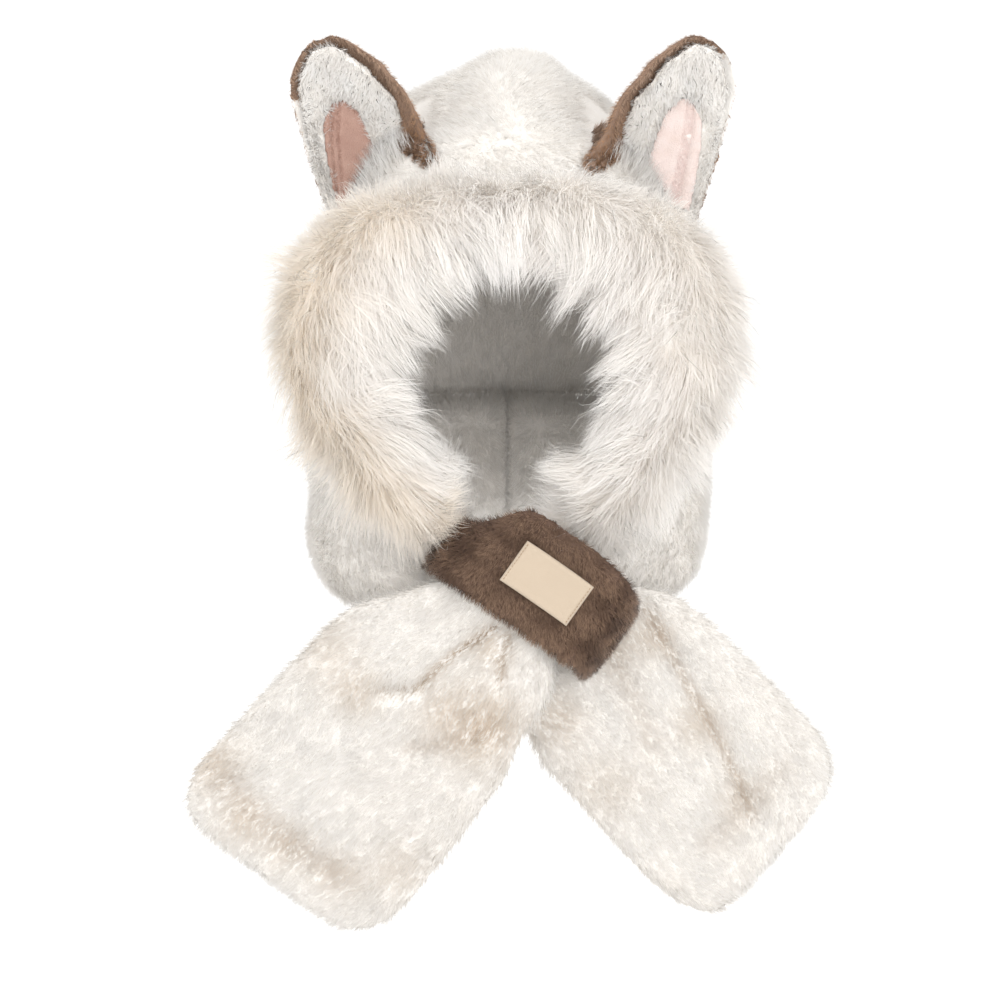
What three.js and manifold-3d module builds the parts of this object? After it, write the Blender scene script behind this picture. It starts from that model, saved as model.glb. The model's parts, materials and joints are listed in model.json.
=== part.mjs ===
// A plush hood scarf with animal ears: a hollow hood, a long-pile fur strip round the face, two cupped ears,
// and a padded scarf whose halves cross under the chin through a keeper band with a bare woven label.
// Millimetres. The face looks along -Y, +Z is up. The origin is on the inside of the crown, where a head touches.
import * as THREE from "three";
import { mergeVertices } from "three/addons/utils/BufferGeometryUtils.js";
import Module from "manifold-3d";

const wasm = await Module();
wasm.setup();

// Clearance that every piece keeps to the piece it is sewn to.
const SEAM_GAP = 0.4;

const hood = {
  halfWidth: 122,
  front: 104,
  back: 118,
  crown: 134,
  nape: 185,
  roundness: 2.2,
  wall: 14,
  peakHeight: 58,
  peakTilt: 30,
  peakSpread: 36,
  ridgeSpread: 30,
  seamDepth: 3,
  seamWidth: 8,
  gatherCount: 9,
  gatherDepth: 3,
  neckLevel: 262,
  neckSlope: 12,
};

// The face opening, measured from its centre, and the fur strip round it.
const face = {
  centreDrop: 170,
  openingSize: 76,
  stripReach: 166,
  stripDepth: 58,
  frontReach: 122,
  sweepBack: 30,
  lip: 8,
};

// One row for each place round the opening, as turned from straight up. Inner, outer and depth are shares of the
// opening's size, the strip's reach and its depth; back moves the section back as a share of the strip's depth.
const STRIP_ROWS = [
  { turn: 0, inner: 1.0, outer: 0.79, depth: 0.95, back: 0.05 },
  { turn: 25, inner: 0.98, outer: 0.86, depth: 0.98, back: 0.05 },
  { turn: 48, inner: 0.92, outer: 0.97, depth: 1.0, back: 0.08 },
  { turn: 66, inner: 0.88, outer: 1.0, depth: 1.05, back: 0.12 },
  { turn: 82, inner: 0.85, outer: 0.95, depth: 1.05, back: 0.12 },
  { turn: 100, inner: 0.82, outer: 0.85, depth: 1.0, back: 0.1 },
  { turn: 122, inner: 0.8, outer: 0.8, depth: 0.95, back: 0.06 },
  { turn: 142, inner: 0.84, outer: 0.75, depth: 0.85, back: 0.04 },
  { turn: 158, inner: 1.0, outer: 0.72, depth: 0.7, back: 0.08 },
  { turn: 168, inner: 1.16, outer: 0.7, depth: 0.5, back: 0.14 },
];

// Rows of fur locks on the strip. Place is the turn round its section: 0 at the inner edge, 90 in front, 180 outside.
const LOCK_ROWS = [
  { place: 48, count: 16, first: -156, last: 156, length: 1.0, flow: -1.7 },
  { place: 100, count: 12, first: -134, last: 138, length: 1.0, flow: -2.2 },
  { place: 148, count: 18, first: -148, last: 148, length: 1.05, flow: 1.6 },
];
const lock = { length: 42, radius: 18, flatness: 0.42, sunk: 6, bend: 0.12, sides: 4 };

const scarf = {
  width: 150,
  thickness: 32,
  neckReach: 112,
  neckFront: 102,
  neckBack: 97,
  backDrop: 248,
  cornerRadius: 32,
  edgeThickness: 10,
  fullness: 2.5,
};

// The scarf's halves: side is the side of the neck, cross is the middle of the crossing.
const HALVES = {
  over: {
    side: 1,
    crossX: 14,
    crossY: -130,
    crossDrop: 308,
    tailLength: 250,
    tailAngle: 47,
    tailForward: -8,
    endSkew: -0.06,
    endWidth: 1.17,
  },
  under: {
    side: -1,
    crossX: 0,
    crossY: -96,
    crossDrop: 314,
    tailLength: 240,
    tailAngle: 43,
    tailForward: 12,
    endSkew: 0.12,
    endWidth: 1.07,
  },
};

// Round the neck, as turned from the back seam. Reach is a share of the neck's reach, drop of the way down from the
// back to the crossing, wide and thick of the scarf's width and thickness.
const NECK_ROWS = [
  { turn: 0, reach: 1.0, drop: 0.0, wide: 0.6, thick: 1.3 },
  { turn: 40, reach: 1.0, drop: 0.04, wide: 0.6, thick: 1.35 },
  { turn: 80, reach: 1.02, drop: 0.2, wide: 0.62, thick: 1.4 },
  { turn: 115, reach: 1.04, drop: 0.42, wide: 0.64, thick: 1.3 },
  { turn: 145, reach: 1.04, drop: 0.66, wide: 0.58, thick: 1.05 },
];

// Down the tail from the crossing. Along is a share of the tail's length, shift of the scarf's width, towards the
// upper edge.
const TAIL_ROWS = [
  { along: 0.0, shift: 0.0, wide: 0.55, thick: 0.95 },
  { along: 0.17, shift: 0.01, wide: 0.76, thick: 1.0 },
  { along: 0.36, shift: 0.05, wide: 0.98, thick: 1.0 },
  { along: 0.65, shift: 0.03, wide: 1.0, thick: 0.95 },
  { along: 1.0, shift: 0.0, wide: 1.0, thick: 0.85 },
];

// Creases and valleys in the front of the scarf. Start and end are places along a half, 0 at the back seam, 1 at the
// crossing and 2 at the tail's end; across goes from -1 at the upper edge to 1 at the lower edge; depth is a share of
// the scarf's thickness and spread of its width.
const FOLDS = {
  over: [
    { start: 0.35, end: 0.92, acrossStart: 0.1, acrossEnd: 0.15, depth: 0.18, spread: 0.07 },
    { start: 1.08, end: 1.56, acrossStart: 0.12, acrossEnd: -0.32, depth: 0.36, spread: 0.05 },
    { start: 1.06, end: 1.26, acrossStart: 0.3, acrossEnd: 0.55, depth: 0.2, spread: 0.045 },
    { start: 1.3, end: 1.74, acrossStart: 0.95, acrossEnd: -0.1, depth: 0.26, spread: 0.09 },
    { start: 1.04, end: 1.34, acrossStart: -0.45, acrossEnd: -0.75, depth: 0.18, spread: 0.05 },
  ],
  under: [
    { start: 0.3, end: 0.96, acrossStart: -0.1, acrossEnd: -0.25, depth: 0.4, spread: 0.06 },
    { start: 1.26, end: 1.96, acrossStart: -0.86, acrossEnd: 0.42, depth: 0.34, spread: 0.07 },
    { start: 1.5, end: 1.9, acrossStart: 0.5, acrossEnd: 0.75, depth: 0.12, spread: 0.08 },
  ],
};
// The seam at the tail's end pulls a shallow groove across it.
const HEM = { fromEnd: 17, spread: 8, depth: 3.5 };
// The share of a half's length over which its bends are eased.
const BEND_EASE = 0.05;

const ear = {
  height: 132,
  width: 80,
  cup: 15,
  backThickness: 10,
  frontThickness: 10,
  rimRoll: 7,
  edge: 2,
  pleat: 4,
  layerGap: 1,
  panelThickness: 1.6,
  panelRecess: 3.6,
  panelTilt: 1.5,
  pocketSlope: 3,
  baseY: -34,
  baseDrop: 84,
};
// From the base to the tip, as shares of the ear's width from its middle: outer and inner are the edges of its back,
// rim is how much of the outer edge the back's rolled rim takes, and white is the inner edge of its front. Bulge is
// how far the back stands out, as a share of its thickness.
const EAR_ROWS = [
  { up: 0.0, outer: -0.35, rim: 0.02, white: 0.27, inner: 0.6, bulge: 1.6 },
  { up: 0.17, outer: -0.37, rim: 0.02, white: 0.3, inner: 0.66, bulge: 1.8 },
  { up: 0.29, outer: -0.38, rim: 0.02, white: 0.37, inner: 0.76, bulge: 1.8 },
  { up: 0.4, outer: -0.39, rim: 0.02, white: 0.47, inner: 0.76, bulge: 1.7 },
  { up: 0.58, outer: -0.39, rim: 0.03, white: 0.51, inner: 0.6, bulge: 1.4 },
  { up: 0.77, outer: -0.38, rim: 0.05, white: 0.37, inner: 0.46, bulge: 1.1 },
  { up: 0.875, outer: -0.32, rim: 0.06, white: 0.26, inner: 0.34, bulge: 0.9 },
  { up: 0.94, outer: -0.24, rim: 0.07, white: 0.17, inner: 0.25, bulge: 0.8 },
  { up: 0.98, outer: -0.14, rim: 0.07, white: 0.1, inner: 0.17, bulge: 0.65 },
  { up: 1.0, outer: -0.04, rim: 0.03, white: 0.04, inner: 0.09, bulge: 0.5 },
];
// The pink panel's edges, as shares of the ear's width from its middle.
const PANEL_ROWS = [
  { up: 0.06, outer: -0.27, inner: 0.13 },
  { up: 0.3, outer: -0.26, inner: 0.175 },
  { up: 0.5, outer: -0.225, inner: 0.155 },
  { up: 0.59, outer: -0.19, inner: 0.14 },
  { up: 0.66, outer: -0.13, inner: 0.1 },
  { up: 0.69, outer: -0.06, inner: 0.04 },
];
const EAR_LEVELS = [0, 0.15, 0.29, 0.4, 0.5, 0.6, 0.69, 0.72, 0.79, 0.87, 0.93, 0.965, 1];
const EARS = {
  left: { side: -1, fromSide: 38, lean: 17, turn: 4, tip: -5 },
  right: { side: 1, fromSide: 28, lean: 17, turn: 17, tip: -5 },
};

// The keeper band lies over the crossing from upper left to lower right.
const keeper = {
  length: 110,
  width: 62,
  middleWiden: 1.22,
  middleRise: 13,
  thickness: 12,
  slant: 35,
  centreX: 14,
  centreDrop: 301,
  frontY: -148,
  arch: 38,
  squareness: 3,
  edgeFullness: 2.6,
};
const label = { length: 47, width: 30, thickness: 1.2, alongShift: 3, acrossShift: -1 };

const COLOURS = {
  plush: { color: 0xf4f1ec, roughness: 0.95 },
  trim: { color: 0xf3ede5, roughness: 0.9 },
  brown: { color: 0x6b5344, roughness: 0.95 },
  pink: { color: 0xe9bdb4, roughness: 0.9 },
  cream: { color: 0xe8d5bd, roughness: 0.8 },
};

const radians = THREE.MathUtils.degToRad;
const lerp = THREE.MathUtils.lerp;
const bell = (distance, spread) => Math.exp(-((distance / spread) ** 2));

// The value of a table's column at a place, eased between its rows.
function column(rows, key, name, place) {
  const last = rows.length - 1;
  let i = 0;
  while (i < last - 1 && place > rows[i + 1][key]) i++;
  const share = THREE.MathUtils.clamp((place - rows[i][key]) / (rows[i + 1][key] - rows[i][key]), 0, 1);
  return lerp(rows[i][name], rows[i + 1][name], THREE.MathUtils.smoothstep(share, 0, 1));
}

// A closed body from rings of points, with each end closed by a fan, to a tip at the last end if one is given.
function skinRings(rings, tip = null) {
  const count = rings[0].length;
  const points = rings.flat();
  const faces = [];
  for (let r = 0; r + 1 < rings.length; r++) {
    for (let i = 0; i < count; i++) {
      const a = r * count + i;
      const b = r * count + ((i + 1) % count);
      faces.push(a, b, b + count, a, b + count, a + count);
    }
  }
  for (const [start, flip] of [[0, true], [(rings.length - 1) * count, false]]) {
    const middle = new THREE.Vector3();
    for (let i = 0; i < count; i++) middle.addScaledVector(points[start + i], 1 / count);
    points.push(tip && !flip ? tip : middle);
    for (let i = 0; i < count; i++) {
      const edge = [start + i, start + ((i + 1) % count)];
      if (flip) edge.reverse();
      faces.push(edge[0], edge[1], points.length - 1);
    }
  }
  return new THREE.BufferGeometry().setFromPoints(points).setIndex(faces);
}

function signedVolume(positions, indices) {
  const [a, b, c] = [new THREE.Vector3(), new THREE.Vector3(), new THREE.Vector3()];
  let sum = 0;
  for (let i = 0; i < indices.length; i += 3) {
    a.fromArray(positions, indices[i] * 3);
    b.fromArray(positions, indices[i + 1] * 3);
    c.fromArray(positions, indices[i + 2] * 3);
    sum += a.dot(b.cross(c)) / 6;
  }
  return sum;
}

// A geometry as a solid that can be cut and joined, turned the right way out.
function toSolid(geometry) {
  const bare = geometry.clone();
  bare.deleteAttribute("normal");
  bare.deleteAttribute("uv");
  const merged = mergeVertices(bare, 1e-3);
  const positions = new Float32Array(merged.attributes.position.array);
  const indices = new Uint32Array(merged.index.array);
  if (signedVolume(positions, indices) < 0) indices.reverse();
  return new wasm.Manifold(new wasm.Mesh({ numProp: 3, vertProperties: positions, triVerts: indices }));
}

// The largest body of a solid: a cut can leave slivers beside it.
function mainBody(solid) {
  return solid.decompose().reduce((best, body) => (body.volume() > best.volume() ? body : best));
}

function toMesh(name, solid, finish) {
  const made = mainBody(solid).getMesh();
  const positions = new Float32Array(made.numVert * 3);
  for (let i = 0; i < made.numVert; i++) {
    positions.set(made.vertProperties.subarray(i * made.numProp, i * made.numProp + 3), i * 3);
  }
  const geometry = new THREE.BufferGeometry();
  geometry.setAttribute("position", new THREE.BufferAttribute(positions, 3));
  geometry.setIndex(new THREE.BufferAttribute(new Uint32Array(made.triVerts), 1));
  geometry.computeVertexNormals();
  const mesh = new THREE.Mesh(geometry, new THREE.MeshStandardMaterial({ ...COLOURS[finish], metalness: 0 }));
  mesh.name = name;
  return mesh;
}

// How far the hood's outside is from its centre in a direction, a unit vector.
function hoodRadius(direction) {
  const depth = direction.y < 0 ? hood.front : hood.back;
  const height = direction.z < 0 ? hood.nape : hood.crown;
  const n = hood.roundness;
  const sum =
    Math.abs(direction.x / hood.halfWidth) ** n +
    Math.abs(direction.y / depth) ** n +
    Math.abs(direction.z / height) ** n;
  const side = THREE.MathUtils.radToDeg(Math.asin(THREE.MathUtils.clamp(direction.x, -1, 1)));
  const tilt = THREE.MathUtils.radToDeg(Math.atan2(direction.y, direction.z)) - hood.peakTilt;
  const peak = hood.peakHeight * bell(tilt, hood.peakSpread) * bell(side, hood.ridgeSpread * 1.6);
  const behindFace = THREE.MathUtils.smoothstep(direction.y + direction.z, -0.2, 0.6);
  const seam = hood.seamDepth * bell(side, (hood.seamWidth / hood.crown) * 57.3) * behindFace;
  const low = THREE.MathUtils.smoothstep(-direction.z, 0.25, 0.7) * THREE.MathUtils.smoothstep(direction.y, 0.02, 0.4);
  const gather = hood.gatherDepth * low * Math.cos(hood.gatherCount * Math.atan2(direction.x, direction.y));
  return sum ** (-1 / n) + peak - seam + gather;
}

// The inside of the crown is at the origin, so the hood's centre is straight below it.
const hoodCentre = new THREE.Vector3(0, 0, -(hoodRadius(new THREE.Vector3(0, 0, 1)) - hood.wall));

// The hood's outer form, grown by extra, which is negative for the inside.
function hoodForm(extra, across, down) {
  const rings = [];
  for (let i = 0; i <= down; i++) {
    const drop = Math.PI * lerp(0.03, 0.97, i / down);
    const ring = Array.from({ length: across }, (_, k) => {
      const direction = new THREE.Vector3().setFromSphericalCoords(1, drop, (2 * Math.PI * k) / across);
      direction.set(direction.x, -direction.z, direction.y);
      return direction.clone().multiplyScalar(hoodRadius(direction) + extra).add(hoodCentre);
    });
    rings.push(ring);
  }
  return toSolid(skinRings(rings));
}

const faceCentre = new THREE.Vector3(0, 0, -face.centreDrop);
const stripAt = (name, turn) => column(STRIP_ROWS, "turn", name, Math.abs(turn));
const openingRadius = (turn) => face.openingSize * stripAt("inner", turn);

// The hole for the face: from the front into the hollow, a lip wider than the fur leaves open.
function faceHole() {
  const outline = new THREE.Shape();
  const steps = 40;
  for (let i = 0; i < steps; i++) {
    const turn = -180 + (360 * i) / steps;
    const reach = openingRadius(turn) + face.lip;
    const x = Math.sin(radians(turn)) * reach;
    const z = faceCentre.z + Math.cos(radians(turn)) * reach;
    if (i === 0) outline.moveTo(x, z);
    else outline.lineTo(x, z);
  }
  const hole = new THREE.ExtrudeGeometry(outline, { depth: 2 * hood.front, bevelEnabled: false });
  hole.rotateX(Math.PI / 2);
  hole.translate(0, -hood.front * 0.35, 0);
  return toSolid(hole);
}

function belowNeck() {
  const size = 4 * hood.halfWidth;
  const box = new THREE.BoxGeometry(size, size, size);
  box.translate(0, 0, -size / 2);
  box.rotateX(radians(hood.neckSlope));
  box.translate(0, 0, -hood.neckLevel);
  return toSolid(box);
}

// A point on the fur strip: turn round the face, and place round the strip's section.
function stripPoint(turn, place, grow) {
  const inner = openingRadius(turn);
  const outer = face.stripReach * stripAt("outer", turn);
  const halfDepth = (face.stripDepth * stripAt("depth", turn)) / 2 + grow;
  const halfReach = (outer - inner) / 2 + grow;
  const middle = (outer + inner) / 2;
  const angle = radians(place);
  const out = -Math.cos(angle) * halfReach;
  const forward = Math.sin(angle) * halfDepth;
  const sweep = radians(face.sweepBack);
  const radial = middle + out * Math.cos(sweep) + forward * Math.sin(sweep) * 0.6;
  const back = out * Math.sin(sweep) - forward * Math.cos(sweep);
  const y = -face.frontReach + face.stripDepth * stripAt("back", turn) + back + halfReach * Math.sin(sweep) * 0.6;
  const direction = new THREE.Vector3(Math.sin(radians(turn)), 0, Math.cos(radians(turn)));
  return direction.multiplyScalar(radial).add(new THREE.Vector3(0, y, faceCentre.z));
}

function stripBacking(extra) {
  const rings = [];
  const steps = 26;
  const sides = 12;
  const end = STRIP_ROWS.at(-1).turn;
  for (let i = 0; i <= steps; i++) {
    const turn = lerp(-end, end, i / steps);
    rings.push(Array.from({ length: sides }, (_, k) => stripPoint(turn, (360 * k) / sides, extra)));
  }
  return toSolid(skinRings(rings));
}

// One lock: a bent, tapering wisp that starts inside the backing. Flow leans it inwards or outwards along the fur.
function furLock(turn, place, row, wobble, extra) {
  const root = stripPoint(turn, place, 0);
  const ahead = stripPoint(turn, place + 8, 0);
  const aside = stripPoint(turn + 2, place, 0);
  const along = ahead.clone().sub(root).normalize();
  const round = aside.clone().sub(root).normalize();
  const out = new THREE.Vector3().crossVectors(along, round).normalize();
  const flow = out.clone().addScaledVector(along, row.flow).addScaledVector(round, 0.25 * wobble).normalize();
  const length = lock.length * row.length * (1 + 0.18 * wobble);
  const across = new THREE.Vector3().crossVectors(flow, out).normalize();
  const upright = new THREE.Vector3().crossVectors(across, flow).normalize();
  const centreAt = (at) => {
    const droop = (lock.bend * Math.sign(row.flow) * at * Math.max(at, 0)) / length;
    return root.clone().addScaledVector(flow, at).addScaledVector(along, droop);
  };
  const stages = [
    { at: -lock.sunk - extra, radius: 0.9 },
    { at: length * 0.4, radius: 0.85 },
  ];
  const rings = stages.map(({ at, radius }) =>
    Array.from({ length: lock.sides }, (_, k) => {
      const angle = (2 * Math.PI * k) / lock.sides;
      return centreAt(at)
        .addScaledVector(across, Math.cos(angle) * (lock.radius * radius + extra))
        .addScaledVector(upright, Math.sin(angle) * (lock.radius * radius * lock.flatness + extra));
    }),
  );
  return toSolid(skinRings(rings, centreAt(length + extra)));
}

function furLocks(extra) {
  const made = [];
  for (const row of LOCK_ROWS) {
    for (let i = 0; i < row.count; i++) {
      const wobble = Math.sin(i * 2.4 + row.place);
      const turn = lerp(row.first, row.last, i / (row.count - 1)) + 2 * wobble;
      made.push(furLock(turn, row.place + 6 * Math.cos(i * 1.7), row, wobble, extra));
    }
  }
  return wasm.Manifold.union(made);
}

// The middle line of a half of the scarf, as points with the place along the half, the width and the thickness.
function scarfStations(half) {
  const side = new THREE.Vector3(half.side, 1, 1);
  const crossing = new THREE.Vector3(half.crossX, half.crossY, -half.crossDrop);
  const rows = NECK_ROWS.map((row, i) => {
    const turn = radians(row.turn);
    const y = Math.cos(turn) * (row.turn < 90 ? scarf.neckBack : scarf.neckFront) * row.reach;
    const x = Math.sin(turn) * scarf.neckReach * row.reach;
    const z = -lerp(scarf.backDrop, half.crossDrop, row.drop);
    return { ...row, place: i / NECK_ROWS.length, point: new THREE.Vector3(x, y, z).multiply(side) };
  });
  rows[0].point.x = half.side * (SEAM_GAP / 2);
  const angle = radians(half.tailAngle);
  const down = new THREE.Vector3(-half.side * Math.cos(angle), 0, -Math.sin(angle));
  const upper = new THREE.Vector3(-half.side * Math.sin(angle), 0, Math.cos(angle));
  for (const row of TAIL_ROWS) {
    const point = crossing.clone().addScaledVector(down, row.along * half.tailLength);
    point.addScaledVector(upper, row.shift * scarf.width);
    point.y -= half.tailForward * row.along;
    rows.push({ ...row, place: 1 + row.along, point });
  }
  return rows;
}

// The depth of the folds at a place along a half and across it.
function foldDepth(folds, place, across) {
  let depth = 0;
  for (const fold of folds) {
    const share = (place - fold.start) / (fold.end - fold.start);
    if (share <= -0.1 || share >= 1.1) continue;
    const middle = lerp(fold.acrossStart, fold.acrossEnd, share);
    const ends = Math.sqrt(Math.max(0, Math.sin(Math.PI * THREE.MathUtils.clamp((share + 0.1) / 1.2, 0, 1))));
    depth += fold.depth * ends * bell(across - middle, fold.spread * 2);
  }
  return depth * scarf.thickness;
}

// One half of the scarf, grown by extra for the pieces that are cut to it.
function scarfHalf(half, folds, extra, steps, sides) {
  const rows = scarfStations(half);
  const curve = new THREE.CatmullRomCurve3(rows.map((row) => row.point), false, "centripetal");
  const lastRow = rows.length - 1;
  const rings = [];
  const tailStart = NECK_ROWS.length / lastRow;
  for (let i = 0; i <= steps; i++) {
    const t = endPacked(i / steps);
    const at = t * lastRow;
    const row = Math.min(Math.floor(at), lastRow - 1);
    const place = lerp(rows[row].place, rows[row + 1].place, at - row);
    const blend = THREE.MathUtils.smoothstep(at - row, 0, 1);
    const wide = lerp(rows[row].wide, rows[row + 1].wide, blend) * scarf.width;
    const thick = lerp(rows[row].thick, rows[row + 1].thick, blend) * scarf.thickness;
    const centre = curve.getPoint(t);
    const [before, after] = [curve.getPoint(Math.max(0, t - BEND_EASE)), curve.getPoint(Math.min(1, t + BEND_EASE))];
    const along = after.sub(before).normalize();
    if (i === 0) along.set(half.side, 0, 0);
    const lower = new THREE.Vector3(0, 0, -1).addScaledVector(along, along.z).normalize();
    const out = new THREE.Vector3().crossVectors(along, lower).multiplyScalar(half.side);
    const tail = Math.max(0, (t - tailStart) / (1 - tailStart));
    const toEnd = (1 - tail) * half.tailLength + extra;
    const round = roundedEnd(toEnd);
    const halfWidth = (wide * lerp(1, half.endWidth, tail)) / 2 - scarf.cornerRadius * (1 - round) + extra;
    const halfThick = lerp(scarf.edgeThickness / 2, thick / 2, Math.sqrt(round)) + extra;
    const hem = HEM.depth * bell(toEnd - HEM.fromEnd, HEM.spread);
    const ring = [];
    for (let k = 0; k < sides; k++) {
      const angle = (2 * Math.PI * k) / sides;
      const c = Math.cos(angle);
      const s = Math.sin(angle);
      const across = Math.sign(c) * Math.abs(c) ** (2 / scarf.fullness);
      const front = Math.sign(s) * Math.abs(s) ** (2 / scarf.fullness);
      const dent = s > 0 ? foldDepth(folds, place, across) * Math.min(1, 1.6 * s) * round : 0;
      const skew = half.endSkew * across * halfWidth * tail ** 3;
      ring.push(
        centre
          .clone()
          .addScaledVector(lower, across * halfWidth)
          .addScaledVector(out, front * (halfThick - hem * Math.min(1, 2 * Math.abs(s))) - dent)
          .addScaledVector(along, skew + (i === steps ? extra : 0)),
      );
    }
    rings.push(ring);
  }
  return toSolid(skinRings(rings));
}

// Packs the rings closer towards the rounded end of the tail.
function endPacked(share) {
  return share < 0.8 ? share * 1.1 : lerp(0.88, 1, Math.sin(((share - 0.8) / 0.2) * (Math.PI / 2)));
}

// 0 at the tail's very end, 1 once past its rounded corners.
function roundedEnd(toEnd) {
  const share = THREE.MathUtils.clamp(toEnd / scarf.cornerRadius, 0, 1);
  return Math.sqrt(1 - (1 - share) ** 2);
}

const earAt = (name, up) => column(EAR_ROWS, "up", name, up) * ear.width;
const panelAt = (name, up) => column(PANEL_ROWS, "up", name, up) * ear.width;

// A point of an ear, in its own frame: x from its middle, depth behind its cupped middle surface.
function earPoint(up, x, depth) {
  const outer = earAt("outer", up);
  const inner = earAt("inner", up);
  const across = (2 * (x - outer)) / (inner - outer) - 1;
  const cup = ear.cup * (1 - across ** 2) * ((inner - outer) / ear.width);
  return new THREE.Vector3(x, cup + depth, up * ear.height);
}

// A layer of the ear at the given places up it. Front and back list points as [x, depth], both from the outer edge.
function earLayer(ups, front, back) {
  const rings = ups.map((up) =>
    [...front(up), ...back(up).reverse()].map(([x, depth]) => earPoint(up, x, depth)),
  );
  return toSolid(skinRings(rings));
}

const shares = (count) => Array.from({ length: count + 1 }, (_, k) => k / count);
const pillow = (share) => Math.sqrt(Math.max(0, 1 - (2 * share - 1) ** 2));
// The white front lies between the rolled rims of the back.
const whiteOuter = (up) => earAt("outer", up) + earAt("rim", up);
const underWhite = (up) => shares(5).map((share) => lerp(whiteOuter(up), earAt("white", up), share));

// The back is rolled forward on both sides of the white front.
function earBack() {
  const roll = (start, end, share) => [lerp(start, end, share), -Math.min(ear.rimRoll, end - start) * pillow(share)];
  const front = (up) => [
    ...[0, 0.5].map((share) => roll(earAt("outer", up), whiteOuter(up), share)),
    ...underWhite(up).map((x) => [x, 0]),
    ...[0.25, 0.6, 0.9, 1].map((share) => roll(earAt("white", up), earAt("inner", up), share)),
  ];
  const back = (up) =>
    shares(6).map((share) => {
      const bulge = ear.backThickness * column(EAR_ROWS, "up", "bulge", up) * pillow(share) ** 0.7;
      const pleat = ear.pleat * bell(share - 0.67, 0.1) * (1 - up);
      return [lerp(earAt("outer", up), earAt("inner", up), share), ear.edge + bulge - pleat];
    });
  return earLayer(EAR_LEVELS, front, back);
}

// The depth of the pocket's floor, which the pink panel lies on.
const pocketFloor = (up) => -ear.frontThickness + ear.panelRecess + ear.panelThickness + ear.panelTilt * up;

function earFront() {
  const puff = (up, x) => {
    const share = (x - whiteOuter(up)) / (earAt("white", up) - whiteOuter(up));
    return -ear.frontThickness * (0.3 + 0.7 * pillow(THREE.MathUtils.clamp(share, 0, 1)) ** 0.7);
  };
  const edges = (up) => [whiteOuter(up) + 2 * SEAM_GAP, earAt("white", up) - 4 * SEAM_GAP];
  const front = (up) => {
    const [start, end] = edges(up);
    const open = up <= PANEL_ROWS.at(-1).up + 0.015;
    const left = Math.max(panelAt("outer", up), start + ear.pocketSlope + 1);
    const right = Math.min(panelAt("inner", up), end - ear.pocketSlope - 1);
    const outside = [start, lerp(start, left - ear.pocketSlope, 0.5), left - ear.pocketSlope];
    const beyond = [right + ear.pocketSlope, lerp(right + ear.pocketSlope, end, 0.5), end];
    const pocket = [left - 1, lerp(left, right, 0.33), lerp(left, right, 0.67), right + 1];
    return [
      ...outside.map((x) => [x, puff(up, x)]),
      ...pocket.map((x) => [x, open ? pocketFloor(up) + SEAM_GAP : puff(up, x)]),
      ...beyond.map((x) => [x, puff(up, x)]),
    ];
  };
  const back = (up) => underWhite(up).map((x) => [THREE.MathUtils.clamp(x, ...edges(up)), -ear.layerGap]);
  return earLayer(EAR_LEVELS.filter((up) => up < 0.98), front, back);
}

// The panel is a thin sheet in the pocket with a stitched welt along its outer side.
function earPanel() {
  const across = (up) => [0, 0.12, 0.33, 0.67, 1].map((share) => lerp(panelAt("outer", up), panelAt("inner", up), share));
  const welt = [0, 1, 0, 0, 0];
  const front = (up) => across(up).map((x, k) => [x, pocketFloor(up) - ear.panelThickness - welt[k]]);
  const back = (up) => across(up).map((x) => [x, pocketFloor(up)]);
  const levels = EAR_LEVELS.filter((up) => up >= PANEL_ROWS[0].up && up <= PANEL_ROWS.at(-1).up);
  return earLayer(levels, front, back);
}

// Places an ear's layer on the hood: mirrored for the left side, leaned outwards and turned to face outwards.
function placeEar(solid, { side, fromSide, lean, turn, tip }) {
  const matrix = new THREE.Matrix4()
    .makeTranslation(side * (hood.halfWidth - fromSide), ear.baseY, -ear.baseDrop)
    .multiply(new THREE.Matrix4().makeRotationY(radians(side * lean)))
    .multiply(new THREE.Matrix4().makeRotationZ(radians(side * turn)))
    .multiply(new THREE.Matrix4().makeRotationX(radians(tip)));
  if (side > 0) matrix.multiply(new THREE.Matrix4().makeScale(-1, 1, 1));
  return solid.transform(matrix.elements);
}

// A point of the keeper band: along from 0 to 1, across from -1 at the lower edge to 1, and out from its underside.
function keeperPoint(along, across, out) {
  const slant = radians(keeper.slant);
  const run = new THREE.Vector3(Math.cos(slant), 0, -Math.sin(slant));
  const rise = new THREE.Vector3(Math.sin(slant), 0, Math.cos(slant));
  const forward = new THREE.Vector3(0, -1, 0);
  const power = 2 / keeper.squareness;
  const archAt = (share) => {
    const turn = Math.PI * THREE.MathUtils.clamp(share, 0, 1);
    const [c, s] = [Math.cos(turn), Math.sin(turn)];
    const reach = -Math.sign(c) * Math.abs(c) ** power * (keeper.length / 2);
    return run.clone().multiplyScalar(reach).addScaledVector(forward, s ** power * keeper.arch);
  };
  const step = 0.01;
  const tangent = archAt(along + step).sub(archAt(along - step)).normalize();
  const normal = new THREE.Vector3().crossVectors(tangent, rise).normalize();
  const bow = Math.sin(Math.PI * along);
  const halfWidth = (keeper.width / 2) * lerp(1, keeper.middleWiden, bow);
  return new THREE.Vector3(keeper.centreX, keeper.frontY + keeper.arch, -keeper.centreDrop)
    .add(archAt(along))
    .addScaledVector(normal, out)
    .addScaledVector(rise, across * halfWidth + keeper.middleRise * bow);
}

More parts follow.
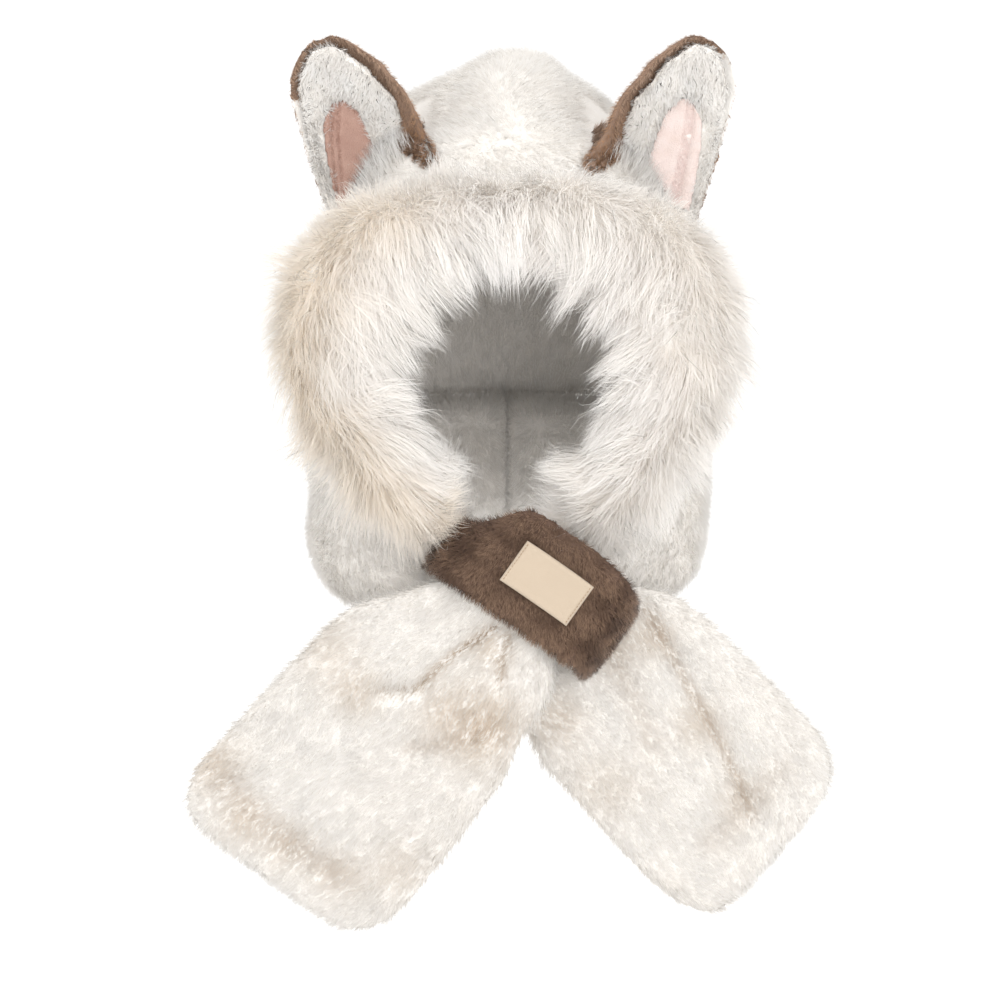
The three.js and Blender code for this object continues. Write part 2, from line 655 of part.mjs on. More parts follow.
// The band: a padded strap with full edges, arched over the crossing.
function keeperForm(extra) {
  const [rows, sides] = [12, 14];
  const half = keeper.thickness / 2;
  const rings = [];
  for (let i = 0; i <= rows; i++) {
    const along = lerp(0.004, 0.996, i / rows);
    const ring = Array.from({ length: sides }, (_, k) => {
      const angle = (2 * Math.PI * k) / sides;
      const [c, s] = [Math.cos(angle), Math.sin(angle)];
      const across = Math.sign(c) * Math.abs(c) ** (2 / keeper.edgeFullness) * (1 + (2 * extra) / keeper.width);
      const out = Math.sign(s) * Math.abs(s) ** (2 / keeper.edgeFullness) * (half + extra);
      return keeperPoint(along, across, half + out);
    });
    rings.push(ring);
  }
  return toSolid(skinRings(rings));
}

// The label follows the band's front, a seam gap above it.
function labelForm() {
  const [rows, columns] = [5, 3];
  const spread = Array.from({ length: columns + 1 }, (_, k) => lerp(-1, 1, k / columns));
  const reach = keeper.width * keeper.middleWiden;
  const middle = 0.5 + label.alongShift / keeper.length / 2;
  const halfTurn = Math.asin((label.length / keeper.length) ** (keeper.squareness / 2)) / Math.PI;
  const across = (s) => (s * label.width - 2 * label.acrossShift) / reach;
  const low = keeper.thickness + SEAM_GAP;
  const rings = [];
  for (let i = 0; i <= rows; i++) {
    const along = middle + lerp(-halfTurn, halfTurn, i / rows);
    const upper = spread.map((s) => keeperPoint(along, across(s), low + label.thickness));
    const lower = [...spread].reverse().map((s) => keeperPoint(along, across(s), low));
    rings.push([...upper, ...lower]);
  }
  return toSolid(skinRings(rings));
}

// The solids, each cut back from what it is sewn to or lies on.
const outside = hoodForm(0, 36, 20);
const outsideGrown = hoodForm(SEAM_GAP, 36, 20);
const inside = hoodForm(-hood.wall, 24, 13);
const halfSolid = (name, extra) => scarfHalf(HALVES[name], FOLDS[name], extra, 30, 18);
const over = halfSolid("over", 0);
const overGrown = halfSolid("over", SEAM_GAP);
const underGrown = halfSolid("under", SEAM_GAP);
const scarfGrown = overGrown.add(underGrown);
const under = halfSolid("under", 0).subtract(overGrown);
const keeperSolid = keeperForm(0).subtract(scarfGrown);
const hoodShell = outside.subtract(inside).subtract(faceHole()).subtract(belowNeck()).subtract(scarfGrown);
const fur = (extra) => stripBacking(extra).add(furLocks(extra));
const faceTrim = fur(0).subtract(outsideGrown).subtract(scarfGrown).subtract(keeperForm(SEAM_GAP));

const part = new THREE.Group();
part.add(toMesh("hood_shell", hoodShell, "plush"));
part.add(toMesh("face_trim", faceTrim, "trim"));
part.add(toMesh("scarf_over", over, "plush"));
part.add(toMesh("scarf_under", under, "plush"));
part.add(toMesh("keeper_band", keeperSolid, "brown"));
part.add(toMesh("label", labelForm(), "cream"));
const earCutter = outsideGrown.add(fur(SEAM_GAP));
for (const [name, pose] of Object.entries(EARS)) {
  const layers = [
    ["back", earBack(), "brown"],
    ["front", earFront(), "plush"],
    ["inner", earPanel(), "pink"],
  ];
  for (const [layer, form, finish] of layers) {
    part.add(toMesh(`ear_${name}_${layer}`, placeEar(form, pose).subtract(earCutter), finish));
  }
}

export default part;
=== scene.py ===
"""A plush animal hood scarf: skins, pile and fur on them as fine tapered strips, and a bare woven label."""

import json
import math

import bpy
import numpy as np
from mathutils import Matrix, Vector
from mathutils.kdtree import KDTree

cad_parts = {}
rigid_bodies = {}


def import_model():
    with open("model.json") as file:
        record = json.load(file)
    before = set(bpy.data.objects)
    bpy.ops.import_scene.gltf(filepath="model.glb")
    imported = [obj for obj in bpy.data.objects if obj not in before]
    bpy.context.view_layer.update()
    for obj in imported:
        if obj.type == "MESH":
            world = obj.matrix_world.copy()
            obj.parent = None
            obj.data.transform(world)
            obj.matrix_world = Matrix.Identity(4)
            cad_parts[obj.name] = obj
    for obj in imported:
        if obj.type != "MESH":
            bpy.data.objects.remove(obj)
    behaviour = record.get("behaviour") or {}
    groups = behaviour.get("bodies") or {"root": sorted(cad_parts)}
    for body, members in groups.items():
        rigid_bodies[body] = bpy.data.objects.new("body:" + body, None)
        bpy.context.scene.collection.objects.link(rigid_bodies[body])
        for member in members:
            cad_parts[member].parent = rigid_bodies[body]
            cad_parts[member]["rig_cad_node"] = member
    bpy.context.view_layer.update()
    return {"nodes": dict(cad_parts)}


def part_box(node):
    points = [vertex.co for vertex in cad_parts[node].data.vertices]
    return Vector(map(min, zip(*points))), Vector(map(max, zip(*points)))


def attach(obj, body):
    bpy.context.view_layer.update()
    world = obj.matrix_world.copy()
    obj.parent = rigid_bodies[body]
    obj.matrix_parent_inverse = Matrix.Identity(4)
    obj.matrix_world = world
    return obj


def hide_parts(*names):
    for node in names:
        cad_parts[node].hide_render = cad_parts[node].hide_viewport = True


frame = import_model()
MM = 0.001

# Camera, at the photograph's angle. Distances are in metres, and the sensor's width is in millimetres.
CAMERA_ELEVATION = 8.5
CAMERA_DISTANCE = 2.1
VIEW_CENTRE = (-0.005, -0.075, -0.252)
VIEW_WIDTH = 0.642
SENSOR_WIDTH = 36


def unit(v):
    return v / np.maximum(np.linalg.norm(v, axis=-1, keepdims=True), 1e-12)


def smoothstep(x, low, high):
    t = np.clip((x - low) / (high - low), 0, 1)
    return t * t * (3 - 2 * t)


def ripple(points, wavelength, seed, waves=7):
    """Smooth random vectors of about unit size that vary over the wavelength."""
    r = np.random.default_rng(seed)
    out = np.zeros((len(points), 3))
    for _ in range(waves):
        k = unit(r.normal(size=3)) * (2 * math.pi / wavelength) * r.uniform(0.6, 1.6)
        out += np.sin(points @ k + r.uniform(0, 2 * math.pi))[:, None] * r.normal(size=3)
    return out / math.sqrt(waves * 0.5) * 0.7


def tangent_to(v, normals):
    return unit(v - normals * np.sum(v * normals, axis=1)[:, None])


# Materials


def set_inputs(node, values):
    for name, value in values.items():
        node.inputs[name].default_value = value


def new_material(name, values):
    """A material with some of its shader's inputs set, its node tree and its shader."""
    material = bpy.data.materials.new(name)
    material.use_nodes = True
    shader = material.node_tree.nodes["Principled BSDF"]
    set_inputs(shader, values)
    return material, material.node_tree, shader


def add_node(tree, kind, values, vector=None):
    """A texture or shader node with some of its inputs set, and its vector linked."""
    node = tree.nodes.new(kind)
    set_inputs(node, values)
    if vector is not None:
        tree.links.new(vector, node.inputs["Vector"])
    return node


def add_ramp(tree, factor, low, high, shader, start=0.0, end=1.0):
    """The shader's colour, as a ramp between two colours that is driven by a socket."""
    ramp = tree.nodes.new("ShaderNodeValToRGB")
    for element, colour, position in zip(ramp.color_ramp.elements, (low, high), (start, end)):
        element.color = (*colour, 1)
        element.position = position
    tree.links.new(factor, ramp.inputs["Fac"])
    tree.links.new(ramp.outputs["Color"], shader.inputs["Base Color"])


def add_relief(tree, height, strength, distance, shader):
    """The shader's fine relief, driven by a socket. Its distance is in metres."""
    relief = add_node(tree, "ShaderNodeBump", {"Strength": strength, "Distance": distance})
    tree.links.new(height, relief.inputs["Height"])
    tree.links.new(relief.outputs["Normal"], shader.inputs["Normal"])


def pile_material(name, roughness, sheen, glow):
    """Pile whose colour is held per strand, dark at the root with painted shade and pale at the tip."""
    values = {"Roughness": roughness, "Specular IOR Level": 0.25}
    material, tree, shader = new_material(name, values)
    set_inputs(shader, {"Sheen Weight": sheen, "Sheen Roughness": 0.5})
    tint = tree.nodes.new("ShaderNodeAttribute")
    tint.attribute_name = "tint"
    through = tree.nodes.new("ShaderNodeBsdfTranslucent")
    mix = add_node(tree, "ShaderNodeMixShader", {"Fac": glow})
    tree.links.new(tint.outputs["Color"], shader.inputs["Base Color"])
    tree.links.new(tint.outputs["Color"], through.inputs["Color"])
    tree.links.new(shader.outputs["BSDF"], mix.inputs[1])
    tree.links.new(through.outputs["BSDF"], mix.inputs[2])
    tree.links.new(mix.outputs["Shader"], tree.nodes["Material Output"].inputs["Surface"])
    return material


def skin_material(name, light, dark, scale, bump):
    """The knitted backing under the pile, mottled and slightly rough."""
    material, tree, shader = new_material(name, {"Roughness": 0.9, "Specular IOR Level": 0.2})
    place = tree.nodes.new("ShaderNodeTexCoord").outputs["Object"]
    mottle = add_node(tree, "ShaderNodeTexNoise", {"Scale": scale, "Detail": 6}, place)
    fine = add_node(tree, "ShaderNodeTexNoise", {"Scale": scale * 9, "Detail": 3}, place)
    add_ramp(tree, mottle.outputs["Fac"], dark, light, shader, 0.3, 0.7)
    add_relief(tree, fine.outputs["Fac"], bump, 0.001, shader)
    return material


def ribbon_material():
    """Woven satin ribbon: fine warp and weft, set across each other by the label's own measures."""
    material, tree, shader = new_material("ribbon_weave", {"Roughness": 0.48, "Sheen Weight": 0.2})
    uv = tree.nodes.new("ShaderNodeUVMap")
    uv.uv_map = "weave"
    weave = tree.nodes.new("ShaderNodeMath")
    weave.operation = "MULTIPLY"
    for slot, (direction, scale) in enumerate((("X", 18.0), ("Y", 34.0))):
        values = {"Scale": scale, "Distortion": 0.6, "Detail": 1}
        wave = add_node(tree, "ShaderNodeTexWave", values, uv.outputs["UV"])
        wave.bands_direction = direction
        tree.links.new(wave.outputs["Fac"], weave.inputs[slot])
    add_ramp(tree, weave.outputs["Value"], RIBBON_DARK, RIBBON_LIGHT, shader, end=0.55)
    add_relief(tree, weave.outputs["Value"], 0.5, 0.0003, shader)
    return material


def thread_material():
    """Twisted sewing thread, banded along its twist."""
    material, tree, shader = new_material("label_thread", {"Roughness": 0.6})
    place = tree.nodes.new("ShaderNodeTexCoord").outputs["Object"]
    wave = add_node(tree, "ShaderNodeTexWave", {"Scale": 900}, place)
    add_ramp(tree, wave.outputs["Fac"], THREAD_DARK, THREAD_LIGHT, shader)
    return material


RIBBON_DARK, RIBBON_LIGHT = (0.43, 0.335, 0.24), (0.62, 0.52, 0.405)
THREAD_DARK, THREAD_LIGHT = (0.2, 0.12, 0.07), (0.42, 0.29, 0.19)
WHITE = (0.9, 0.893, 0.88)
WARM = (0.88, 0.85, 0.815)
FUR_WHITE = (0.975, 0.965, 0.955)
FUR_WARM = (0.94, 0.9, 0.85)

# The backings are darker than their pile's tips: painted shade in the gaps deep in the pile.
PLUSH_SKIN = skin_material("plush_backing", (0.76, 0.735, 0.705), (0.72, 0.69, 0.65), 60, 0.4)
BROWN_SKIN = skin_material("brown_backing", (0.15, 0.095, 0.07), (0.09, 0.055, 0.04), 60, 0.6)
RIM_SKIN = skin_material("rim_backing", (0.27, 0.18, 0.13), (0.2, 0.13, 0.093), 60, 0.6)
EAR_SKIN = skin_material("ear_backing", (0.79, 0.77, 0.74), (0.75, 0.72, 0.685), 60, 0.4)
# One pink for both ears, painted darker on the left ear as shade and paler on the right ear as light.
SHADED_AND_LIT_PINK_SKINS = {
    "left": skin_material("pink_backing_left_painted_shade", (0.42, 0.27, 0.22), (0.36, 0.22, 0.18), 120, 0.8),
    "right": skin_material("pink_backing_right_painted_light", (0.7, 0.6, 0.57), (0.66, 0.54, 0.5), 120, 0.8),
}
WHITE_PILE = pile_material("white_pile", 0.8, 0.2, 0.45)
FUR_PILE = pile_material("long_fur", 0.65, 0.15, 0.5)
EAR_PILE = pile_material("ear_fluff", 0.75, 0.2, 0.42)
BROWN_PILE = pile_material("brown_pile", 0.8, 0.3, 0.22)
PINK_PILE = pile_material("pink_pile", 0.85, 0.3, 0.3)


# Meshes


def add_object(name, data):
    obj = bpy.data.objects.new(name, data)
    bpy.context.scene.collection.objects.link(obj)
    return obj


def make_mesh(name, verts, faces, material, smooth=True):
    mesh = bpy.data.meshes.new(name)
    mesh.from_pydata([tuple(v) for v in verts], [], [tuple(f) for f in faces])
    mesh.materials.append(material)
    mesh.polygons.foreach_set("use_smooth", [smooth] * len(mesh.polygons))
    mesh.update()
    return add_object(name, mesh)


def apply_modifiers(obj):
    bpy.context.view_layer.update()
    graph = bpy.context.evaluated_depsgraph_get()
    mesh = bpy.data.meshes.new_from_object(obj.evaluated_get(graph))
    obj.modifiers.clear()
    obj.data = mesh


def set_points(obj, points):
    obj.data.vertices.foreach_set("co", points.ravel())
    obj.data.update()


def skin_of(node, name, voxel, inset, material, smooth, held=None):
    """A smooth skin from the node's solid, drawn in under the pile, but for what is held.

    Voxel and inset are in millimetres, and smooth is rounds of smoothing.
    """
    source = frame["nodes"][node]
    obj = add_object(name, source.data.copy())
    remesh = obj.modifiers.new("remesh", "REMESH")
    remesh.mode = "VOXEL"
    remesh.voxel_size = voxel * MM
    relax = obj.modifiers.new("relax", "SMOOTH")
    relax.factor = 0.5
    relax.iterations = smooth
    apply_modifiers(obj)
    points, normals, _ = arrays(obj)
    depth = np.full((len(points), 1), inset * MM)
    if held is not None:
        depth = depth * (1 - held(points)[:, None])
    set_points(obj, points - normals * depth)
    obj.data.materials.clear()
    obj.data.materials.append(material)
    obj.data.polygons.foreach_set("use_smooth", [True] * len(obj.data.polygons))
    obj.data.update()
    return obj


def shade_softly(skin, rounds):
    """The skin is shaded by its softened normals."""
    _, normals, tris = arrays(skin)
    skin.data.normals_split_custom_set_from_vertices(softened(normals, tris, rounds))


def from_line(points, line):
    """Distances, seen from the front, to a line of (x, z) places in millimetres."""
    flat = points[:, [0, 2]] / MM
    line = np.array(line, dtype=float)
    best = np.full(len(flat), 1e9)
    for a, b in zip(line[:-1], line[1:]):
        way = b - a
        share = np.clip((flat - a) @ way / (way @ way), 0, 1)
        best = np.minimum(best, np.linalg.norm(flat - a - share[:, None] * way, axis=1))
    return best


def crease_share(points, normals, creases):
    """How deep in a crease each front place is, from 0 to 1, which shortens the pile and sets its painted
    shade.
    """
    share = np.zeros(len(points))
    for line, _, _, width, shade in creases:
        share = np.maximum(share, shade * np.exp(-((from_line(points, line) / width) ** 2)))
    return share * smoothstep(-normals[:, 1], 0.0, 0.35)


def press_creases(skin, creases):
    """Presses the creases into the front of a skin, with a low swell on both sides of each."""
    points, normals, _ = arrays(skin)
    front = smoothstep(-normals[:, 1], 0.0, 0.4)
    depth = np.zeros(len(points))
    for line, deep, spread, _, _ in creases:
        away = from_line(points, line) / spread
        depth += deep * (np.exp(-(away**2)) - 0.2 * np.exp(-(((away - 2.6) / 1.3) ** 2)))
    set_points(skin, points - normals * (depth * front * MM)[:, None])


def arrays(obj):
    """Points, normals and triangles of an object's mesh."""
    mesh = obj.data
    mesh.update()
    count = len(mesh.vertices)
    points = np.empty(count * 3)
    normals = np.empty(count * 3)
    mesh.vertices.foreach_get("co", points)
    mesh.vertex_normals.foreach_get("vector", normals)
    mesh.calc_loop_triangles()
    tris = np.empty(len(mesh.loop_triangles) * 3, dtype=np.int64)
    mesh.loop_triangles.foreach_get("vertices", tris)
    return points.reshape(-1, 3), normals.reshape(-1, 3), tris.reshape(-1, 3)


def softened(normals, tris, rounds):
    """Vertex normals averaged with their neighbours' normals, some rounds over."""
    first = np.concatenate([tris[:, 0], tris[:, 1], tris[:, 2]])
    second = np.concatenate([tris[:, 1], tris[:, 2], tris[:, 0]])
    for _ in range(rounds):
        total = normals.copy()
        np.add.at(total, first, normals[second])
        normals = unit(total)
    return normals


def scatter(obj, count, seed, density=None, rounds=5):
    """Random places on a mesh, with softened normals. Density weighs the triangles by centre and normal."""
    points, normals, tris = arrays(obj)
    normals = softened(normals, tris, rounds)
    r = np.random.default_rng(seed)
    a, b, c = (points[tris[:, i]] for i in range(3))
    face = np.cross(b - a, c - a)
    weight = np.linalg.norm(face, axis=1)
    if density is not None:
        weight = weight * density((a + b + c) / 3, unit(face))
    pick = r.choice(len(tris), count, p=weight / weight.sum())
    s = np.sqrt(r.random(count))[:, None]
    t = r.random(count)[:, None]
    u, v, w = 1 - s, s * (1 - t), s * t
    chosen = tris[pick]
    place = u * points[chosen[:, 0]] + v * points[chosen[:, 1]] + w * points[chosen[:, 2]]
    normal = unit(u * normals[chosen[:, 0]] + v * normals[chosen[:, 1]] + w * normals[chosen[:, 2]])
    return place, normal


def clumped(paths, amount, clumps, seed, power=1.4):
    """Draws each strand towards the middle line of its clump, the more the nearer its tip."""
    r = np.random.default_rng(seed)
    count = len(paths)
    amount = np.broadcast_to(amount, count)[:, None]
    clumps = max(1, min(clumps, count))
    heads = r.choice(count, clumps, replace=False)
    tree = KDTree(clumps)
    for i, head in enumerate(heads):
        tree.insert(Vector(paths[head, 0]), i)
    tree.balance()
    member = np.array([tree.find(Vector(p))[1] for p in paths[:, 0]])
    size = np.bincount(member, minlength=clumps)
    middle = np.zeros((clumps, paths.shape[1], 3))
    np.add.at(middle, member, paths)
    middle /= np.maximum(size, 1)[:, None, None]
    share = np.linspace(0, 1, paths.shape[1]) ** power
    pull = (share[None, :] * amount * r.uniform(0.6, 1.25, (clumps, 1))[member])[:, :, None]
    return paths + (middle[member] - paths) * np.clip(pull, 0, 0.95), member


ROOT_DEPTH = 1.0 * MM


def strand_paths(roots, normals, flow, length, lean_root, lean_tip, segments, curl, seed):
    """Bent middle lines: each strand rises off the skin at one lean and ends at another, along the flow."""
    r = np.random.default_rng(seed)
    count = len(roots)
    flow = tangent_to(flow, normals)
    paths = np.empty((count, segments + 1, 3))
    paths[:, 0] = roots - normals * ROOT_DEPTH
    for k in range(segments):
        share = (k + 0.5) / segments
        lean = lean_root + (lean_tip - lean_root) * share
        direction = normals * np.cos(lean)[:, None] + flow * np.sin(lean)[:, None]
        direction = unit(direction + r.normal(size=(count, 3)) * curl)
        paths[:, k + 1] = paths[:, k] + direction * (length / segments)[:, None]
    return paths


def strand_mesh(name, paths, normals, width, colour_root, colour_tip, material, seed, soft):
    """Tapered strips along the paths. Their shading follows the surface below, so the pile shades softly."""
    r = np.random.default_rng(seed)
    count, rings = paths.shape[:2]
    segments = rings - 1
    along = np.empty_like(paths)
    along[:, :-1] = paths[:, 1:] - paths[:, :-1]
    along[:, -1] = along[:, -2]
    along = unit(along)
    side = unit(np.cross(along, normals[:, None, :]) + r.normal(size=(count, 1, 3)) * 0.35)
    taper = 1 - 0.75 * (np.arange(segments) / segments) ** 1.3
    half = 0.5 * width[:, None, None] * taper[None, :, None] * side[:, :-1]
    # Each ring of a strand has two points, and its tip has one.
    ring = np.append(np.repeat(np.arange(segments), 2), segments)
    verts = paths[:, ring]
    verts[:, 0:-1:2] -= half
    verts[:, 1:-1:2] += half
    face_normal = unit(np.cross(side, along))
    flip = np.sign(np.sum(face_normal * normals[:, None, :], axis=2, keepdims=True))
    flip[flip == 0] = 1
    face_normal *= flip
    waves = ripple(paths[:, 0], 0.05, seed + 1) * 0.03
    brushed = unit(normals + waves + ripple(paths[:, 0], 0.014, seed + 2) * 0.02)
    shade = unit(soft * brushed[:, None, :] + (1 - soft) * face_normal)
    mix = np.linspace(0, 1, segments + 1)[None, :, None] ** 0.8
    tint = colour_root[:, None, :] * (1 - mix) + colour_tip[:, None, :] * mix
    tints = np.ones((count, len(ring), 4))
    tints[:, :, :3] = tint[:, ring]
    faces = [[2 * k, 2 * k + 1, 2 * k + 3, 2 * k + 2] for k in range(segments - 1)]
    faces.append([2 * segments - 2, 2 * segments - 1, 2 * segments])
    onward = np.array([i for face in faces for i in face])
    reverse = np.array([i for face in faces for i in face[::-1]])
    totals = np.tile([4] * (segments - 1) + [3], count)
    # The strip's own normal is cross(side, along) for one winding, and the other winding turns it round.
    winding = np.where(flip[:, :1, 0] > 0, onward[None, :], reverse[None, :])
    loops = (winding + (np.arange(count) * len(ring))[:, None]).ravel()
    mesh = bpy.data.meshes.new(name)
    mesh.vertices.add(count * len(ring))
    mesh.vertices.foreach_set("co", verts.ravel())
    mesh.loops.add(len(loops))
    mesh.loops.foreach_set("vertex_index", loops)
    mesh.polygons.add(len(totals))
    mesh.polygons.foreach_set("loop_start", np.concatenate([[0], np.cumsum(totals)[:-1]]))
    mesh.polygons.foreach_set("use_smooth", np.ones(len(totals), dtype=bool))
    mesh.update(calc_edges=True)
    layer = mesh.color_attributes.new("tint", "FLOAT_COLOR", "POINT")
    layer.data.foreach_set("color", tints.ravel())
    mesh.normals_split_custom_set_from_vertices(shade[:, ring].reshape(-1, 3))
    mesh.materials.append(material)
    return add_object(name, mesh)


def strand_colours(points, member, look, seed, patch):
    """Root and tip colours: shaded roots, pale tips, darker patches, and small differences between clumps."""
    r = np.random.default_rng(seed)
    light, dark, shadow = (np.array(colour) for colour in look[:3])
    spread = look[3]
    warm = np.clip(0.5 + 0.6 * ripple(points, patch, seed + 1)[:, 0], 0, 1)[:, None] * spread
    clump = r.normal(size=member.max() + 1)[member][:, None] * 0.01
    own = r.normal(size=(len(points), 1)) * 0.025
    tip = np.clip((light * (1 - warm) + dark * warm) * (1 + clump + own), 0, 0.98)
    root = np.clip((shadow * 0.75 + dark * 0.25) * (1 + clump), 0, 0.98)
    return root, tip


# What a full crease's painted shade and a full warm place take off red, green and blue; on the tails a warm
# place is painted shade too.
CREASE_SHADE_TINT = np.array([0.4, 0.5, 0.6])
PAINTED_SHADE_AND_TONE_TINT = np.array([0.17, 0.26, 0.36])


def add_pile(
    skin, name, material, count, length, width, lean, flow_at, look, seed, density=None, clump=8,
    tight=0.14, segments=1, creases=(), warm=(), patch=0.07, stray=0.24, curly=0.07, soft=0.95,
):
    """Short pile over a skin, combed along flow_at and drawn into tufts. It is short in creases, with painted
    shade there, and warm places darken its colour.

    Length and width are in millimetres, lean is in degrees at the root and the tip, and clump is the
    number of strands in a tuft.
    """
    roots, normals = scatter(skin, count, seed, density)
    r = np.random.default_rng(seed + 5)
    flow = flow_at(roots, normals)
    swirl = ripple(roots, 0.09, seed + 2) * 0.25 + ripple(roots, 0.012, seed + 3) * curly
    flow = tangent_to(flow + swirl, normals)
    flow = tangent_to(flow + r.normal(size=flow.shape) * stray, normals)
    lift = ripple(roots, 0.04, seed + 4)[:, 0] * 0.05
    root_lean = np.radians(lean[0]) + lift + r.normal(size=count) * 0.15
    tip_lean = np.radians(lean[1]) + lift + r.normal(size=count) * 0.15
    size = length * MM * r.uniform(0.75, 1.15, count) * (1 + 0.06 * ripple(roots, 0.03, seed + 6)[:, 1])
    deep = crease_share(roots, normals, creases)
    size = size * (1 - 0.45 * deep)
    paths = strand_paths(roots, normals, flow, size, root_lean, tip_lean, segments, 0.1, seed + 7)
    paths, member = clumped(paths, tight, count // clump, seed + 8)
    root_tint, tip_tint = strand_colours(roots, member, look, seed + 9, patch)
    # Painted shade: the colour is darker in the creases.
    shaded = 1 - deep[:, None] * CREASE_SHADE_TINT
    front = smoothstep(-normals[:, 1], -0.1, 0.3)
    # Warm places darken and warm the colour: painted shade on the tails, and a browner brown over the ears'
    # folds.
    for middle, radius, strength in warm:
        away = from_line(roots, [middle, middle + np.array([0.1, 0])]) / radius
        near = np.exp(-(away**2)) * strength
        shaded = shaded * (1 - (near * front)[:, None] * PAINTED_SHADE_AND_TONE_TINT)
    widths = width * MM * r.uniform(0.7, 1.3, count)
    return strand_mesh(
        name, paths, normals, widths, root_tint * shaded, tip_tint * shaded, material, seed + 11, soft
    )


def even_flow(*way):
    """Pile combed the same way everywhere."""

    def flow(points, normals):
        return np.broadcast_to(np.array(way), points.shape)

    return flow


def finish_piece(obj, node=None):
    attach(obj, "root")
    if node:
        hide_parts(node)


# A look is the colour of the tips, of the patches and of the roots, which are darker with painted shade, and
# how much the patches show.
WHITE_LOOK = (WHITE, WARM, (0.88, 0.85, 0.81), 0.35)
EAR_LOOK = ((0.97, 0.965, 0.955), (0.93, 0.905, 0.875), (0.87, 0.835, 0.79), 0.5)
BROWN_LOOK = ((0.4, 0.26, 0.175), (0.13, 0.077, 0.05), (0.09, 0.05, 0.032), 0.9)
RIM_LOOK = ((0.72, 0.51, 0.375), (0.51, 0.345, 0.245), (0.34, 0.22, 0.148), 0.7)
FLAP_LOOK = ((0.5, 0.33, 0.225), (0.34, 0.215, 0.145), (0.23, 0.14, 0.092), 0.7)
# One pink for both ears, painted darker on the left ear as shade and paler on the right ear as light.
SHADED_AND_LIT_PINK_LOOKS = {
    "left": ((0.5, 0.31, 0.25), (0.41, 0.235, 0.185), (0.34, 0.185, 0.14), 0.6),
    "right": ((0.85, 0.77, 0.745), (0.82, 0.7, 0.67), (0.74, 0.59, 0.56), 0.5),
}

# The hood


def hood_flow(points, normals):
    """Combed down and back, and away from the middle."""
    back = np.array([0.0, 0.45, -1.0])
    side = np.stack([np.tanh(points[:, 0] / 0.03) * 0.2, 0 * points[:, 0], 0 * points[:, 0]], axis=1)
    return np.broadcast_to(back, points.shape) + side


HOOD_MIDDLE = np.array([0.0, 0.005, -0.145])
HOOD_PILE_END = -0.29
FLAP_REACH = 11
FLAP_LINES = ([(-57, 8), (-60, -30)], [(57, 8), (60, -30)])


def outer_side(points, normals):
    """1 where a surface of the hood faces out, 0 where it faces the hollow."""
    return (np.sum(normals * (points - HOOD_MIDDLE), axis=1) > 0).astype(float)


def beside_flaps(points):
    """0 under the brown folds at the ears' bases, 1 elsewhere."""
    near = np.minimum(from_line(points, FLAP_LINES[0]), from_line(points, FLAP_LINES[1]))
    return 1 - (near < FLAP_REACH) * (points[:, 1] < 0.02)


def hood_held(points):
    """1 at the neck's edge and at the top of the crown, where the skin isn't drawn in."""
    return 1 - smoothstep(points[:, 2], -0.265, -0.235) + smoothstep(points[:, 2], 0.0, 0.02)


def outside_density(points, normals):
    return outer_side(points, normals) * (points[:, 2] > HOOD_PILE_END) * beside_flaps(points)


def inside_density(points, normals):
    return 1 - outer_side(points, normals)


PEAK_X, CROWN_LIFT, SHOULDER_DROP = 0.006, 0.003, 0.011


def shape_crown(skin):
    """The crown falls away from its peak to both sides, more like a tent than the plain dome."""
    points, _, _ = arrays(skin)
    points[:, 2] += CROWN_LIFT * smoothstep(points[:, 2], -0.03, 0.025)
    beside = np.abs(points[:, 0] - PEAK_X)
    shoulder = smoothstep(beside, 0.005, 0.042) * (1 - smoothstep(beside, 0.055, 0.092))
    points[:, 2] -= SHOULDER_DROP * shoulder * smoothstep(points[:, 2], -0.035, 0.005)
    set_points(skin, points)


hood_skin = skin_of("hood_shell", "hood_skin", 6.5, 3.2, PLUSH_SKIN, smooth=14, held=hood_held)
shape_crown(hood_skin)
shade_softly(hood_skin, 3)
hood_pile = add_pile(
    hood_skin, "hood_pile", WHITE_PILE, count=100000, length=10, width=0.64, lean=(54, 54),
    flow_at=hood_flow, look=WHITE_LOOK, seed=11, density=outside_density,
)
hood_inside = add_pile(
    hood_skin, "hood_inside_pile", WHITE_PILE, count=22000, length=9, width=1.0, lean=(48, 48),
    flow_at=hood_flow, look=WHITE_LOOK, seed=31, density=inside_density,
)

# Where the ears and their brown folds meet the hood, in lines of (x, z) places. Longer pile hides the joins.
EAR_BASES = {
    "left": [(-76, -28), (-89, -44), (-102, -62)],
    "right": [(77, -30), (89, -44), (102, -62)],
}
FLAP_FEET = {"left": [(-66, -8), (-60, -27)], "right": [(68, -10), (60, -30)]}
FLAP_FOOT_REACH, FLAP_FOOT_BACK, EAR_BASE_REACH = 8, -0.008, 9


def flap_foot_density(line):
    def density(points, normals):
        near = (points[:, 1] < FLAP_FOOT_BACK) * (from_line(points, line) < FLAP_FOOT_REACH)
        return outer_side(points, normals) * near

    return density


def ear_base_density(line):
    def density(points, normals):
        near = np.exp(-((from_line(points, line) / EAR_BASE_REACH) ** 2))
        return outer_side(points, normals) * (normals[:, 1] < 0.2) * near

    return density


